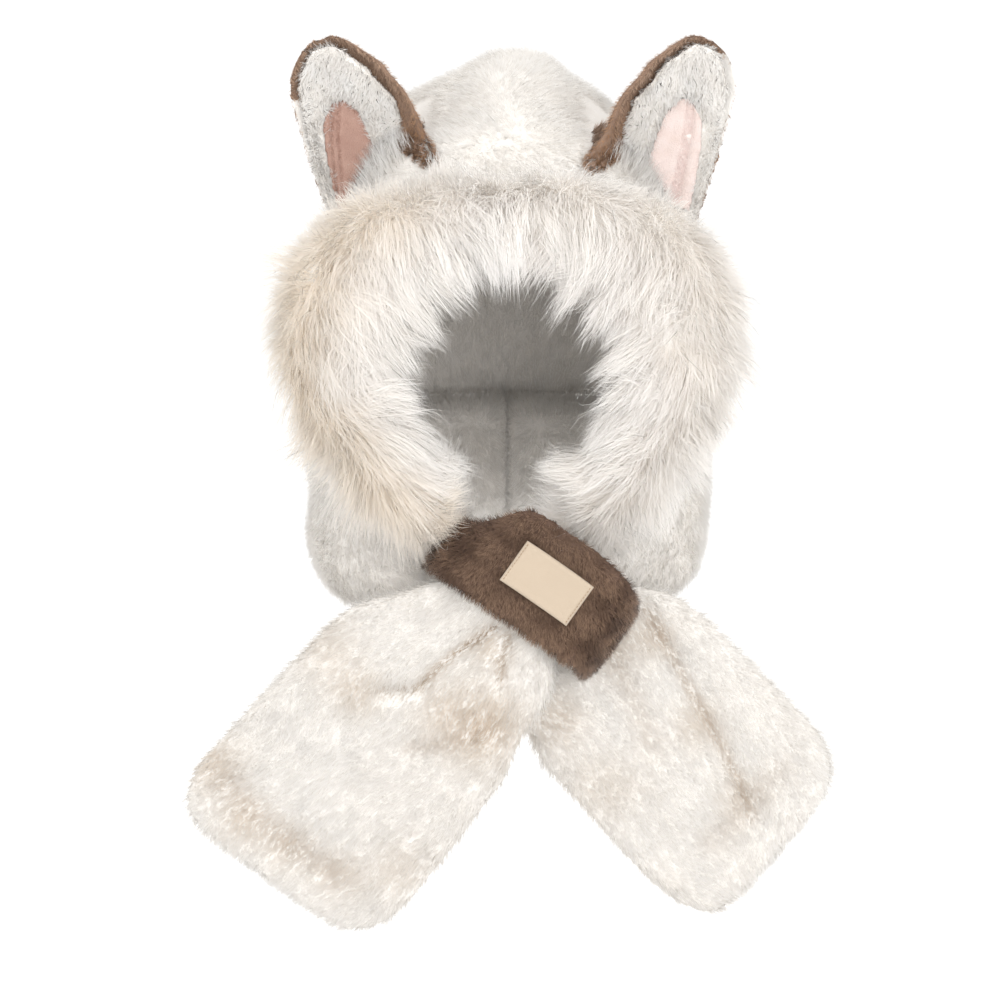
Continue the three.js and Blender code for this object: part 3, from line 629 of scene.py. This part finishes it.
SIDES = {"left": -1, "right": 1}
for name, side in SIDES.items():
    foot = add_pile(
        hood_skin, f"flap_foot_{name}", BROWN_PILE, count=2200, length=9, width=0.6, lean=(30, 46),
        flow_at=even_flow(0.0, -0.3, -1.0), look=FLAP_LOOK, seed=71 + side, patch=0.014, stray=0.5,
        tight=0.4, curly=0.3, density=flap_foot_density(FLAP_FEET[name]),
    )
    finish_piece(foot)
for name, side in SIDES.items():
    cover = add_pile(
        hood_skin, f"ear_base_pile_{name}", EAR_PILE, count=5200, length=16, width=0.66, lean=(26, 40),
        flow_at=even_flow(side * 0.5, -0.2, 1.0), look=EAR_LOOK, seed=51 + side, stray=0.4, tight=0.3,
        density=ear_base_density(EAR_BASES[name]),
    )
    finish_piece(cover)
finish_piece(hood_skin, "hood_shell")
finish_piece(hood_pile)
finish_piece(hood_inside)

# The scarf's halves. Their pile is combed along them, down to the tails' ends.

# A crease is its line of (x, z) places, depth, spread, width of painted shade, and strength of painted shade.
# A warm place is a warm-toned patch of painted shade: its (x, z) middle, radius and strength. Lengths are in
# millimetres.
TAILS = {
    "scarf_over": {
        "side": 1,
        "down": (-math.cos(math.radians(47)), 0.0, -math.sin(math.radians(47))),
        "creases": [
            ([(-6, -322), (-31, -339), (-45, -351), (-54, -361), (-66, -364), (-77, -365)], 8, 7, 3, 1.0),
            ([(2, -328), (-2, -342), (-4, -354)], 4, 6, 3.5, 0.7),
            ([(-60, -399), (-23, -392), (-6, -387)], 3, 14, 6, 0.3),
            ([(-176, -424), (-150, -452), (-112, -478)], 3, 13, 9, 0.3),
        ],
        "warm": [
            ((-14, -384), 24, 0.9), ((-40, -372), 16, 0.4), ((-92, -362), 16, 0.5),
            ((-112, -335), 22, 0.35), ((-184, -412), 18, 0.6), ((-166, -446), 16, 0.55),
            ((-138, -464), 16, 0.5), ((-104, -482), 16, 0.4), ((-66, -478), 20, 0.3), ((-8, -332), 12, 0.6),
        ],
    },
    "scarf_under": {
        "side": -1,
        "down": (math.cos(math.radians(43)), 0.0, -math.sin(math.radians(43))),
        "creases": [
            ([(88, -318), (104, -348), (120, -377), (136, -405), (149, -434), (155, -450)], 7, 9, 4, 0.55),
            ([(60, -338), (78, -372), (88, -400)], 4, 14, 8, 0.2),
            ([(170, -418), (150, -446), (128, -466)], 3, 14, 9, 0.2),
        ],
        "warm": [
            ((58, -330), 22, 0.6), ((92, -332), 12, 0.5), ((118, -388), 16, 0.4),
            ((148, -436), 16, 0.4), ((26, -386), 18, 0.5), ((60, -430), 22, 0.3),
        ],
    },
}
CROSSING = np.array([0.014, -0.13, -0.308])


def back_seam(points):
    """1 where the halves meet behind the neck, 0 away from there."""
    near = 1 - smoothstep(np.abs(points[:, 0]), 0.006, 0.022)
    top = smoothstep(points[:, 2], -0.245, -0.225)
    return np.clip(near * (points[:, 1] > 0.03) + top, 0, 1)


def close_seam(skin):
    """Draws the end behind the neck up to the middle plane, where the other half meets it."""
    points, _, _ = arrays(skin)
    near = (1 - smoothstep(np.abs(points[:, 0]), 0.005, 0.02)) * (points[:, 1] > 0.03)
    points[:, 0] += (np.sign(points[:, 0]) * 0.0004 - points[:, 0]) * near
    set_points(skin, points)


def scarf_flow(side, down):
    """Combed round the neck and down, in to the hood on the collar's top, and along the tail."""

    def flow(points, normals):
        still = np.zeros(len(points))
        round_neck = unit(np.stack([points[:, 1] * side, -points[:, 0] * side, still], axis=1))
        behind = (points[:, 1] > 0.03) * (1 - smoothstep(np.abs(points[:, 0]), 0.012, 0.03))
        to_seam = np.stack([-np.sign(points[:, 0]), still, still], axis=1)
        round_neck = round_neck * (1 - behind[:, None]) + to_seam * behind[:, None] + np.array([0, 0, -0.9])
        top = smoothstep(normals[:, 2], 0.1, 0.5) * (points[:, 2] > -0.235)
        to_hood = np.stack([points[:, 0], points[:, 1], 0.02 + still], axis=1)
        round_neck = round_neck * (1 - top[:, None]) + unit(to_hood) * 2 * top[:, None]
        past = (points - CROSSING) @ down
        share = smoothstep(past, -0.05, 0.02)[:, None]
        return round_neck * (1 - share) + down * share

    return flow


for seed, (node, tail) in enumerate(TAILS.items()):
    skin = skin_of(node, node + "_skin", 4.6, 3.8, PLUSH_SKIN, smooth=18, held=back_seam)
    press_creases(skin, tail["creases"])
    close_seam(skin)
    shade_softly(skin, 3)
    pile = add_pile(
        skin, node + "_pile", WHITE_PILE, count=110000, length=10, width=0.64, lean=(54, 54),
        flow_at=scarf_flow(tail["side"], np.array(tail["down"])), look=WHITE_LOOK, seed=101 + 40 * seed,
        creases=tail["creases"], warm=tail["warm"],
    )
    finish_piece(skin, node)
    finish_piece(pile)

# The ears


def turn_white(skin, kept):
    """The white front is turned round the edge where the brown back isn't kept."""
    skin.data.materials.append(EAR_SKIN)
    count = len(skin.data.polygons)
    centres, normals = np.empty(count * 3), np.empty(count * 3)
    skin.data.polygons.foreach_get("center", centres)
    skin.data.polygons.foreach_get("normal", normals)
    share = kept(centres.reshape(-1, 3), normals.reshape(-1, 3))
    skin.data.polygons.foreach_set("material_index", (share < 0.5).astype(np.int32))
    skin.data.update()


def point_tree(points):
    tree = KDTree(len(points))
    for i, point in enumerate(points):
        tree.insert(Vector(point), i)
    tree.balance()
    return tree


def panel_distance(points, tree):
    """Distances to the panel, seen from the front."""
    return np.array([tree.find(Vector((p[0], 0, p[2])))[2] for p in points])


# How far the brown fold at an ear's inner base lies off the hood and past the ear's edge, in millimetres.
FLAP_OFF_HOOD, FLAP_PAST_EDGE, FOLD_DEPTH = 11, 4, 1.8


def raise_flap(skin, side, middle, drop, hood_front):
    """The brown fold at the ear's inner base lies forward on the hood, with soft folds in it."""
    points, normals, _ = arrays(skin)
    inward = (middle - points[:, 0] * side) / MM
    z = points[:, 2] / MM
    points[:, 2] -= smoothstep(inward, 12, 32) * (1 - smoothstep(z, -14, 22)) * drop
    share = smoothstep(inward, 12, 26) * smoothstep(z, -62, -44) * (1 - smoothstep(z, 4, 26))
    share = share * smoothstep(-normals[:, 1], -0.6, 0.2)
    folds = FOLD_DEPTH * np.sin(inward / 2.6 + z / 9)
    places, tree = hood_front
    hood = np.array([places[tree.find(Vector((p[0], 0, p[2])))[1], 1] for p in points])
    lying = np.minimum(points[:, 1] - 0.006, hood - (FLAP_OFF_HOOD + folds) * MM)
    points[:, 1] += share * (lying - points[:, 1])
    points[:, 0] -= share * side * FLAP_PAST_EDGE * MM
    set_points(skin, points)


SEEN_FROM_FRONT = np.array([1, 0, 1])
UPPER_EDGE_MORE = 1.2


def front_of(skin):
    """The places of a skin's front, with a tree to find them in as seen from the front."""
    points, normals, _ = arrays(skin)
    points = points[normals[:, 1] < -0.1]
    return points, point_tree(points * SEEN_FROM_FRONT)


def ear_flow(low, height, panel, panel_tree):
    """Combed away from the panel and down, but over the panel's edges close beside it."""

    def flow(points, normals):
        up = (points[:, 2] - low) / height
        away = unit((points - panel) * SEEN_FROM_FRONT)
        share = smoothstep(up, 0.5, 0.75)[:, None]
        combed = (away + np.array([0, 0, -0.35])) * (1 - share) + np.array([0.0, 0.0, -1.0]) * share
        near = 0.7 * (1 - smoothstep(panel_distance(points, panel_tree), 0.0015, 0.006))
        to_panel = unit((panel - points) * np.array([1, 0, 0.45]))
        return combed * (1 - near[:, None]) + to_panel * near[:, None]

    return flow


def beside_panel(panel_tree):
    """A density of 0 under the panel, 1 beside it, and more along the ear's upper edge."""

    def density(points, normals):
        beside = smoothstep(panel_distance(points, panel_tree), 0.0008, 0.0014)
        return beside * (1 + UPPER_EDGE_MORE * smoothstep(normals[:, 2], 0.1, 0.5))

    return density


def rim_only(side, low, height, rim_end):
    """A share of 0 on the outer edge below the rim, and 1 where the ear is brown."""

    def share(points, normals):
        up = (points[:, 2] - low) / height
        outer = points[:, 0] * side > 0.102 + (points[:, 2] + 0.02) * 0.33
        front = 1 - smoothstep(normals[:, 1], 0.25, 0.5)
        return 1 - outer * (1 - smoothstep(up, rim_end, rim_end + 0.08)) * front

    return share


# How far up each ear its outer edge is white.
RIM_END = {"left": 0.65, "right": 0.86}

# How far each brown fold is drawn down towards the fur, in metres.
FLAP_DROP = {"left": 0.024, "right": 0.017}

# The stitched lines along the panels' outer sides, written as narrow creases are, so they are pressed in and
# get painted crease shade.
PANEL_LINES = {
    "left": [
        ([(-113.5, 2), (-113.8, -25), (-110, -58)], 1.3, 1.7, 1.3, 1.0),
        ([(-109.5, 2), (-109.7, -25), (-106.2, -58)], 1.0, 1.5, 1.1, 0.8),
    ],
    "right": [
        ([(121, 0), (117, -28), (110, -62)], 1.3, 1.8, 1.6, 0.7),
        ([(117, 0), (113, -28), (106, -62)], 0.9, 1.5, 1.1, 0.4),
    ],
}

hood_front = front_of(hood_skin)
for seed, (name, side) in enumerate(SIDES.items()):
    back, front, panel = (f"ear_{name}_{part}" for part in ("back", "front", "inner"))
    low_corner, high_corner = (np.array(corner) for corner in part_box(back))
    low = low_corner[2]
    height = high_corner[2] - low
    middle = (low_corner[0] + high_corner[0]) / 2 * side
    kept = rim_only(side, low, height, RIM_END[name])

    panel_skin = skin_of(panel, panel + "_skin", 1.5, 0.2, SHADED_AND_LIT_PINK_SKINS[name], smooth=14)
    press_creases(panel_skin, PANEL_LINES[name])
    panel_points, _, _ = arrays(panel_skin)
    panel_middle = (panel_points.min(axis=0) + panel_points.max(axis=0)) / 2
    panel_tree = point_tree(panel_points * SEEN_FROM_FRONT)

    back_skin = skin_of(back, back + "_skin", 2.5, 1.0, RIM_SKIN, smooth=4)
    raise_flap(back_skin, side, middle, FLAP_DROP[name], hood_front)
    turn_white(back_skin, kept)
    inward_flow = even_flow(-0.8 * side, 0.0, -1.0)
    # Its warm place makes the brown darker and browner over the fold at the ear's base.
    back_pile = add_pile(
        back_skin, back + "_pile", BROWN_PILE, count=20000, length=5.0, width=0.5, lean=(46, 46),
        flow_at=inward_flow, look=RIM_LOOK, seed=301 + 50 * seed, density=kept, patch=0.014, stray=0.5,
        tight=0.35, curly=0.25, warm=[((side * 61, -26), 29, 1.5)],
    )
    front_skin = skin_of(front, front + "_skin", 2.5, 2.4, EAR_SKIN, smooth=14)
    front_pile = add_pile(
        front_skin, front + "_pile", EAR_PILE, count=13000, length=8.5, width=0.62, lean=(28, 62),
        flow_at=ear_flow(low, height, panel_middle, panel_tree), look=EAR_LOOK, seed=311 + 50 * seed,
        density=beside_panel(panel_tree), patch=0.02, stray=0.5, tight=0.42, clump=16, curly=0.3,
        segments=2, soft=0.85,
    )
    panel_pile = add_pile(
        panel_skin, panel + "_pile", PINK_PILE, count=8000, length=1.8, width=0.45, lean=(48, 48),
        flow_at=inward_flow, look=SHADED_AND_LIT_PINK_LOOKS[name], seed=321 + 50 * seed, patch=0.05, stray=0.3,
        creases=PANEL_LINES[name],
    )
    for skin, pile, node, slot in (
        (back_skin, back_pile, back, "brown_plush"),
        (front_skin, front_pile, front, "white_plush"),
        (panel_skin, panel_pile, panel, "pink_velour"),
    ):
        finish_piece(skin, node)
        finish_piece(pile)

# The keeper band and its label. These sizes follow the source's, in millimetres.

KEEPER = {
    "length": 110, "width": 62, "widen": 1.22, "rise": 13, "thickness": 12, "slant": 35, "x": 14, "y": -148,
    "z": -301, "arch": 38, "square": 3,
}
KEEPER_SLANT = math.radians(KEEPER["slant"])
KEEPER_RUN = np.array([math.cos(KEEPER_SLANT), 0, -math.sin(KEEPER_SLANT)])
KEEPER_RISE = np.array([math.sin(KEEPER_SLANT), 0, math.cos(KEEPER_SLANT)])
FORWARD = np.array([0, -1, 0])


def keeper_point(along, across, out):
    """A point on the keeper band, in metres: along 0 to 1, across -1 to 1, out from its underside."""
    k = KEEPER

    def arch(share):
        turn = math.pi * min(max(share, 0), 1)
        c, s = math.cos(turn), math.sin(turn)
        reach = -math.copysign(abs(c) ** (2 / k["square"]), c) * k["length"] / 2
        return KEEPER_RUN * reach + FORWARD * (max(s, 0) ** (2 / k["square"]) * k["arch"])

    direction = arch(along + 0.01) - arch(along - 0.01)
    normal = np.cross(direction / np.linalg.norm(direction), KEEPER_RISE)
    bow = math.sin(math.pi * along)
    half = k["width"] / 2 * (1 + (k["widen"] - 1) * bow)
    base = np.array([k["x"], k["y"] + k["arch"], k["z"]])
    return (base + arch(along) + normal * out + KEEPER_RISE * (across * half + k["rise"] * bow)) * MM


CORNER_DROP = 20


def draw_in_corner(skin):
    """The band's upper left corner is drawn down under the fur, so its left end is a blunt point."""
    points, _, _ = arrays(skin)
    from_middle = points / MM - np.array([KEEPER["x"], KEEPER["y"], KEEPER["z"]])
    share = smoothstep(-(from_middle @ KEEPER_RUN), 28, 54) * smoothstep(from_middle @ KEEPER_RISE, -8, 34)
    drop = (share * CORNER_DROP * MM)[:, None]
    set_points(skin, points - drop * KEEPER_RISE)


keeper_skin = skin_of("keeper_band", "keeper_skin", 3.4, 2.5, BROWN_SKIN, smooth=4)
draw_in_corner(keeper_skin)
keeper_pile = add_pile(
    keeper_skin, "keeper_pile", BROWN_PILE, count=46000, length=7.5, width=0.5, lean=(40, 40),
    flow_at=even_flow(-0.3, 0.0, -1.0), look=BROWN_LOOK, seed=501, patch=0.014, stray=0.8, tight=0.5,
    clump=12, curly=0.35,
)
finish_piece(keeper_skin, "keeper_band")
finish_piece(keeper_pile)

LABEL_LENGTH, LABEL_WIDTH, LABEL_LIFT, LABEL_THICK = 47.0, 30.0, 0.9, 0.9
LABEL_ALONG, LABEL_ACROSS = 2.3, 1.0
STITCH_INSET, STITCH_MARGIN, STITCH_PITCH = 1.5, 1.0, 2.3
STITCH_LENGTH, STITCH_RADIUS, STITCH_LIFT = 1.5, 0.26, 0.33
STITCH_RINGS, STITCH_SIDES = 5, 6


def label_point(u, v, lift):
    """A point on the label, from its shares along and across, and its height over the band."""
    reach = KEEPER["width"] * KEEPER["widen"]
    target = ((u - 0.5) * LABEL_LENGTH + LABEL_ALONG) / KEEPER["length"]
    quarter = math.asin(min(1, abs(2 * target)) ** (KEEPER["square"] / 2))
    turn = 0.5 + math.copysign(quarter, target) / math.pi
    across = ((2 * v - 1) * LABEL_WIDTH + 2 * LABEL_ACROSS) / reach
    return keeper_point(turn, across, KEEPER["thickness"] + lift)


def label_mesh():
    columns, rows = 42, 28
    top, under, coords = [], [], []
    for j in range(rows + 1):
        for i in range(columns + 1):
            u, v = i / columns, j / rows
            edge = min(u * LABEL_LENGTH, (1 - u) * LABEL_LENGTH, v * LABEL_WIDTH, (1 - v) * LABEL_WIDTH)
            fold = 0.35 * math.exp(-((edge - 2.4) / 1.6) ** 2) - 0.5 * math.exp(-((edge / 0.5) ** 2))
            slack = 0.25 * math.sin(5.1 * u + 1.0) * math.sin(4.3 * v + 0.4)
            top.append(label_point(u, v, LABEL_LIFT + LABEL_THICK + fold + slack))
            under.append(label_point(u, v, LABEL_LIFT - 0.6))
            coords.append((u * LABEL_LENGTH / 10, v * LABEL_WIDTH / 10))
    wide = columns + 1
    faces = []
    half = len(top)
    for j in range(rows):
        for i in range(columns):
            a = j * wide + i
            faces.append((a, a + 1, a + 1 + wide, a + wide))
            faces.append((half + a, half + a + wide, half + a + 1 + wide, half + a + 1))
    border = list(range(wide)) + [j * wide + columns for j in range(1, rows + 1)]
    border += [rows * wide + i for i in range(columns - 1, -1, -1)]
    border += [j * wide for j in range(rows - 1, 0, -1)]
    for a, b in zip(border, border[1:] + border[:1]):
        faces.append((b, a, half + a, half + b))
    obj = make_mesh("label_cloth", top + under, faces, ribbon_material())
    layer = obj.data.uv_layers.new(name="weave")
    for loop in obj.data.loops:
        layer.data[loop.index].uv = coords[loop.vertex_index % half]
    return obj


def stitch_mesh():
    """Running stitches a little inside the label's ends, each a short bent capsule of thread."""
    verts, faces = [], []
    out = label_point(0.5, 0.5, 1) - label_point(0.5, 0.5, 0)
    out = out / np.linalg.norm(out)
    span = LABEL_WIDTH - 2 * STITCH_MARGIN
    for x in (STITCH_INSET, LABEL_LENGTH - STITCH_INSET):
        for k in range(int(span / STITCH_PITCH)):
            rings = []
            for share in np.linspace(0, 1, STITCH_RINGS):
                y = STITCH_MARGIN + (k + 0.3) * STITCH_PITCH + share * STITCH_LENGTH
                height = LABEL_LIFT + LABEL_THICK + STITCH_LIFT + 0.15 * math.sin(math.pi * share)
                rings.append(label_point(x / LABEL_LENGTH, y / LABEL_WIDTH, height))
            direction = rings[-1] - rings[0]
            across = np.cross(direction / np.linalg.norm(direction), out)
            base = len(verts)
            for step, centre in enumerate(rings):
                radius = STITCH_RADIUS * (0.35 if step in (0, STITCH_RINGS - 1) else 1.0) * MM
                for s in range(STITCH_SIDES):
                    turn = 2 * math.pi * s / STITCH_SIDES
                    verts.append(centre + across * math.cos(turn) * radius + out * math.sin(turn) * radius)
            for step in range(STITCH_RINGS - 1):
                for s in range(STITCH_SIDES):
                    a = base + step * STITCH_SIDES + s
                    b = base + step * STITCH_SIDES + (s + 1) % STITCH_SIDES
                    faces.append((a, b, b + STITCH_SIDES, a + STITCH_SIDES))
            last = base + (STITCH_RINGS - 1) * STITCH_SIDES
            faces.append(tuple(base + s for s in reversed(range(STITCH_SIDES))))
            faces.append(tuple(last + s for s in range(STITCH_SIDES)))
    return make_mesh("label_stitches", verts, faces, thread_material())


label_cloth = label_mesh()
label_stitches = stitch_mesh()
finish_piece(label_cloth, "label")
finish_piece(label_stitches)

# The fur round the face, on a padded strip. Its sections follow the source's table.

STRIP = np.array([
    # turn, inner, outer, depth, back
    [0, 1.0, 0.79, 0.95, 0.05],
    [25, 0.98, 0.86, 0.98, 0.05],
    [48, 0.92, 0.97, 1.0, 0.08],
    [66, 0.88, 1.0, 1.05, 0.12],
    [82, 0.85, 0.95, 1.05, 0.12],
    [100, 0.82, 0.85, 1.0, 0.1],
    [122, 0.8, 0.8, 0.95, 0.06],
    [142, 0.84, 0.75, 0.85, 0.04],
    [158, 1.0, 0.72, 0.7, 0.08],
    [168, 1.16, 0.7, 0.5, 0.14],
])
OPENING, STRIP_REACH, STRIP_DEPTH = 76.0, 166.0, 58.0
FRONT_REACH, SWEEP, FACE_Z = 122.0, 30.0, -170.0


def strip_column(column, turn):
    """A column of the table at some turns, eased between its rows."""
    rows = STRIP[:, 0]
    turn = np.clip(np.abs(turn), rows[0], rows[-1])
    at = np.clip(np.searchsorted(rows, turn, side="right") - 1, 0, len(rows) - 2)
    share = smoothstep((turn - rows[at]) / (rows[at + 1] - rows[at]), 0, 1)
    return STRIP[at, column] * (1 - share) + STRIP[at + 1, column] * share


def strip_point(turn, place, grow):
    """Points of the strip, in metres: turn round the face and place round its section, both in degrees."""
    inner = OPENING * strip_column(1, turn)
    outer = STRIP_REACH * strip_column(2, turn)
    half_depth = STRIP_DEPTH * strip_column(3, turn) / 2 + grow
    half_reach = (outer - inner) / 2 + grow
    out = -np.cos(np.radians(place)) * half_reach
    forward = np.sin(np.radians(place)) * half_depth
    c, s = math.cos(math.radians(SWEEP)), math.sin(math.radians(SWEEP))
    radial = (outer + inner) / 2 + out * c + forward * s * 0.6
    back = out * s - forward * c
    y = -FRONT_REACH + STRIP_DEPTH * strip_column(4, turn) + back + half_reach * s * 0.6
    angle = np.radians(turn)
    return np.stack([np.sin(angle) * radial, y, FACE_Z + np.cos(angle) * radial], axis=-1) * MM


def strip_frame(turn, place, grow):
    """Points of the strip, with their normals and the way out along its section."""
    here = strip_point(turn, place, grow)
    outward = unit(strip_point(turn, place + 2, grow) - strip_point(turn, place - 2, grow))
    around = unit(strip_point(turn + 1, place, grow) - strip_point(turn - 1, place, grow))
    return here, unit(np.cross(around, outward)), outward


STRIP_INSET = -9.0
STRIP_END = 166.0


def strip_skin():
    steps, sides = 120, 30
    turns = np.linspace(-STRIP_END, STRIP_END, steps + 1)
    places = np.arange(sides) * 360 / sides
    turn, place = np.meshgrid(turns, places, indexing="ij")
    verts = strip_point(turn.ravel(), place.ravel(), STRIP_INSET)
    faces = []
    for i in range(steps):
        for k in range(sides):
            a, b = i * sides + k, i * sides + (k + 1) % sides
            faces.append((a, a + sides, b + sides, b))
    faces.append(tuple(range(sides)))
    faces.append(tuple(steps * sides + k for k in reversed(range(sides))))
    return make_mesh("face_trim_skin", verts, faces, PLUSH_SKIN)


# Where the fur parts: turns round the face, and places round the section, in degrees.
PARTING = ((0, 50, 90, 130, 166), (144, 134, 124, 108, 100))


def tufts(points, count, seed):
    """A random vector for each strand, the same for all that share its tuft."""
    r = np.random.default_rng(seed)
    tree = KDTree(count)
    for i, head in enumerate(r.choice(len(points), count, replace=False)):
        tree.insert(Vector(points[head]), i)
    tree.balance()
    member = np.array([tree.find(Vector(p))[1] for p in points])
    return r.normal(size=(count, 3))[member]


# Painted shade in the parting of the fur round the face, a beige.
PARTING_SHADE = np.array((0.94, 0.86, 0.755))
FUR_LOOK = (FUR_WHITE, FUR_WARM, (0.93, 0.89, 0.85), 0.3)


def trim_fur(name, count, places, length, width, segments, seed, clump, tight, lie, fall, loose=0.16):
    """Long fur on the strip: it parts along the front, inwards to the face and outwards to the hood.

    Places are degrees round the section. Lie is the lean beside the parting, the lean far from it, and
    what the tip adds, in degrees.
    """
    r = np.random.default_rng(seed)
    turn = r.uniform(-STRIP_END, STRIP_END, count)
    place = r.uniform(places[0], places[1], count)
    roots, normals, outward = strip_frame(turn, place, STRIP_INSET)
    wander = 7 * np.sin(np.radians(turn * 3.1))
    parting = np.interp(np.abs(turn), *PARTING) + wander + 5 * np.sin(np.radians(turn * 7.7) + 1)
    away = place - parting
    tuft = tufts(roots, count // 110, seed + 20)
    way = np.tanh((away + 14 * tuft[:, 0] + 10 * r.normal(size=count)) / 12)
    drop = np.stack([np.zeros(count), np.zeros(count), -np.ones(count)], axis=1)
    flow = outward * way[:, None] + drop * fall
    flow = flow + ripple(roots, 0.07, 77) * 0.4 + ripple(roots, 0.025, 78) * 0.25
    flow = tangent_to(unit(flow) + tuft * (0.3 + loose / 3) + r.normal(size=flow.shape) * loose, normals)
    far = np.clip(np.abs(away) / 55, 0, 1)
    lift = ripple(roots, 0.035, seed + 3)[:, 0] * 0.14
    lean_root = np.radians(lie[0] + (lie[1] - lie[0]) * far) + lift + tuft[:, 1] * 0.16
    lean_root = lean_root + r.normal(size=count) * 0.16
    lean_tip = lean_root + np.radians(lie[2]) + r.normal(size=count) * 0.12
    end_thin = 1 - 0.35 * smoothstep(np.abs(turn), 150, STRIP_END)
    size = length * MM * r.uniform(0.6, 1.15, count) * (1 + 0.15 * ripple(roots, 0.03, seed + 4)[:, 0])
    size = size * end_thin * (0.94 - 0.06 * way)
    paths = strand_paths(roots, normals, flow, size, lean_root, lean_tip, segments, 0.13, seed + 5)
    paths[:, :, 2] -= (np.linspace(0, 1, segments + 1) ** 2)[None, :] * size[:, None] * 0.1
    paths, _ = clumped(paths, 0.3, count // 90, seed + 21, power=1.3)
    edge = 1 - smoothstep(place, 10, 60)
    paths, member = clumped(paths, tight + 0.3 * edge, count // clump, seed + 6, power=1.6)
    root_tint, tip_tint = strand_colours(roots, member, FUR_LOOK, seed + 7, patch=0.09)
    # Painted shade along the parting: weaker at the top of the face and stronger on the left side.
    near = np.exp(-(((away + 12) / 34) ** 2)) * (0.6 - 0.4 * np.tanh((turn + 25) / 30))
    near = (near * (0.25 + 0.75 * smoothstep(np.abs(turn), 12, 45)))[:, None]
    root_tint = root_tint * (1 - near) + PARTING_SHADE * near
    tip_tint = tip_tint * (1 - 0.65 * near) + PARTING_SHADE * 0.65 * near
    widths = width * MM * r.uniform(0.6, 1.3, count)
    return strand_mesh(name, paths, normals, widths, root_tint, tip_tint, FUR_PILE, seed + 8, soft=0.8)


FUR_LAYERS = {
    "face_trim_fur_inner": {
        "count": 28000, "places": (-62, 150), "length": 44, "width": 0.46, "segments": 3, "seed": 601,
        "clump": 12, "tight": 0.3, "lie": (36, 60, 26), "fall": 0.6,
    },
    "face_trim_fur_outer": {
        "count": 20000, "places": (100, 250), "length": 28, "width": 0.46, "segments": 3, "seed": 651,
        "clump": 10, "tight": 0.22, "lie": (46, 68, 12), "fall": 0.3,
    },
    "face_trim_fluff": {
        "count": 13000, "places": (0, 168), "length": 30, "width": 0.42, "segments": 2, "seed": 751,
        "clump": 14, "tight": 0.4, "lie": (26, 46, 26), "fall": 0.7, "loose": 0.5,
    },
    "face_trim_underfur": {
        "count": 62000, "places": (-66, 252), "length": 20, "width": 0.68, "segments": 1, "seed": 701,
        "clump": 10, "tight": 0.25, "lie": (44, 62, 0), "fall": 0.4,
    },
}
finish_piece(strip_skin(), "face_trim")
for name, layer in FUR_LAYERS.items():
    finish_piece(trim_fur(name, **layer))

# Studio


def area_light(name, place, aim, size, energy, colour):
    data = bpy.data.lights.new(name, "AREA")
    data.shape = "RECTANGLE"
    data.size, data.size_y = size
    data.energy = energy
    data.color = colour
    obj = add_object(name, data)
    obj.location = place
    obj.rotation_euler = (Vector(aim) - Vector(place)).to_track_quat("-Z", "Y").to_euler()


WORLD_COLOUR, WORLD_STRENGTH, EXPOSURE = (1.0, 0.995, 0.988, 1), 0.9, 0.3
FLOOR_REACH, FLOOR_Z = 12.0, -0.75
LIT_MIDDLE = (0, -0.05, -0.22)


def studio():
    scene = bpy.context.scene
    world = bpy.data.worlds.new("studio")
    world.use_nodes = True
    set_inputs(world.node_tree.nodes["Background"], {"Color": WORLD_COLOUR, "Strength": WORLD_STRENGTH})
    scene.world = world
    scene.view_settings.view_transform = "Standard"
    scene.view_settings.look = "None"
    scene.view_settings.exposure = EXPOSURE
    material, _, _ = new_material("studio_floor", {"Base Color": (0.97, 0.97, 0.97, 1), "Roughness": 0.9})
    corners = [(x * FLOOR_REACH, y * FLOOR_REACH, FLOOR_Z) for x, y in ((-1, -1), (1, -1), (1, 1), (-1, 1))]
    floor = make_mesh("floor", corners, [(0, 1, 2, 3)], material, smooth=False)
    area_light("key", (-1.5, -2.2, 1.7), LIT_MIDDLE, (1.8, 1.8), 21, (1.0, 0.995, 0.985))
    area_light("fill", (1.1, -2.5, 0.3), LIT_MIDDLE, (2.0, 2.0), 24, (1.0, 0.997, 0.99))
    area_light("top", (-0.1, -1.3, 2.0), (0, -0.1, -0.05), (1.6, 1.2), 5, (1.0, 1.0, 1.0))
    area_light("rim", (0.3, 2.2, 1.8), LIT_MIDDLE, (2.0, 1.4), 12, (1.0, 1.0, 1.0))


def camera():
    data = bpy.data.cameras.new("camera")
    data.sensor_width = SENSOR_WIDTH
    data.sensor_fit = "HORIZONTAL"
    data.lens = SENSOR_WIDTH * CAMERA_DISTANCE / VIEW_WIDTH
    data.clip_end = 50
    obj = add_object("camera", data)
    tilt = math.radians(CAMERA_ELEVATION)
    centre = Vector(VIEW_CENTRE)
    obj.location = centre + Vector((0, -math.cos(tilt), math.sin(tilt))) * CAMERA_DISTANCE
    obj.rotation_euler = (centre - obj.location).to_track_quat("-Z", "Y").to_euler()
    bpy.context.scene.camera = obj


studio()
camera()

added = [obj for obj in bpy.data.objects if obj.type == "MESH" and "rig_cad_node" not in obj]
print("triangles added:", sum(len(p.vertices) - 2 for obj in added for p in obj.data.polygons))
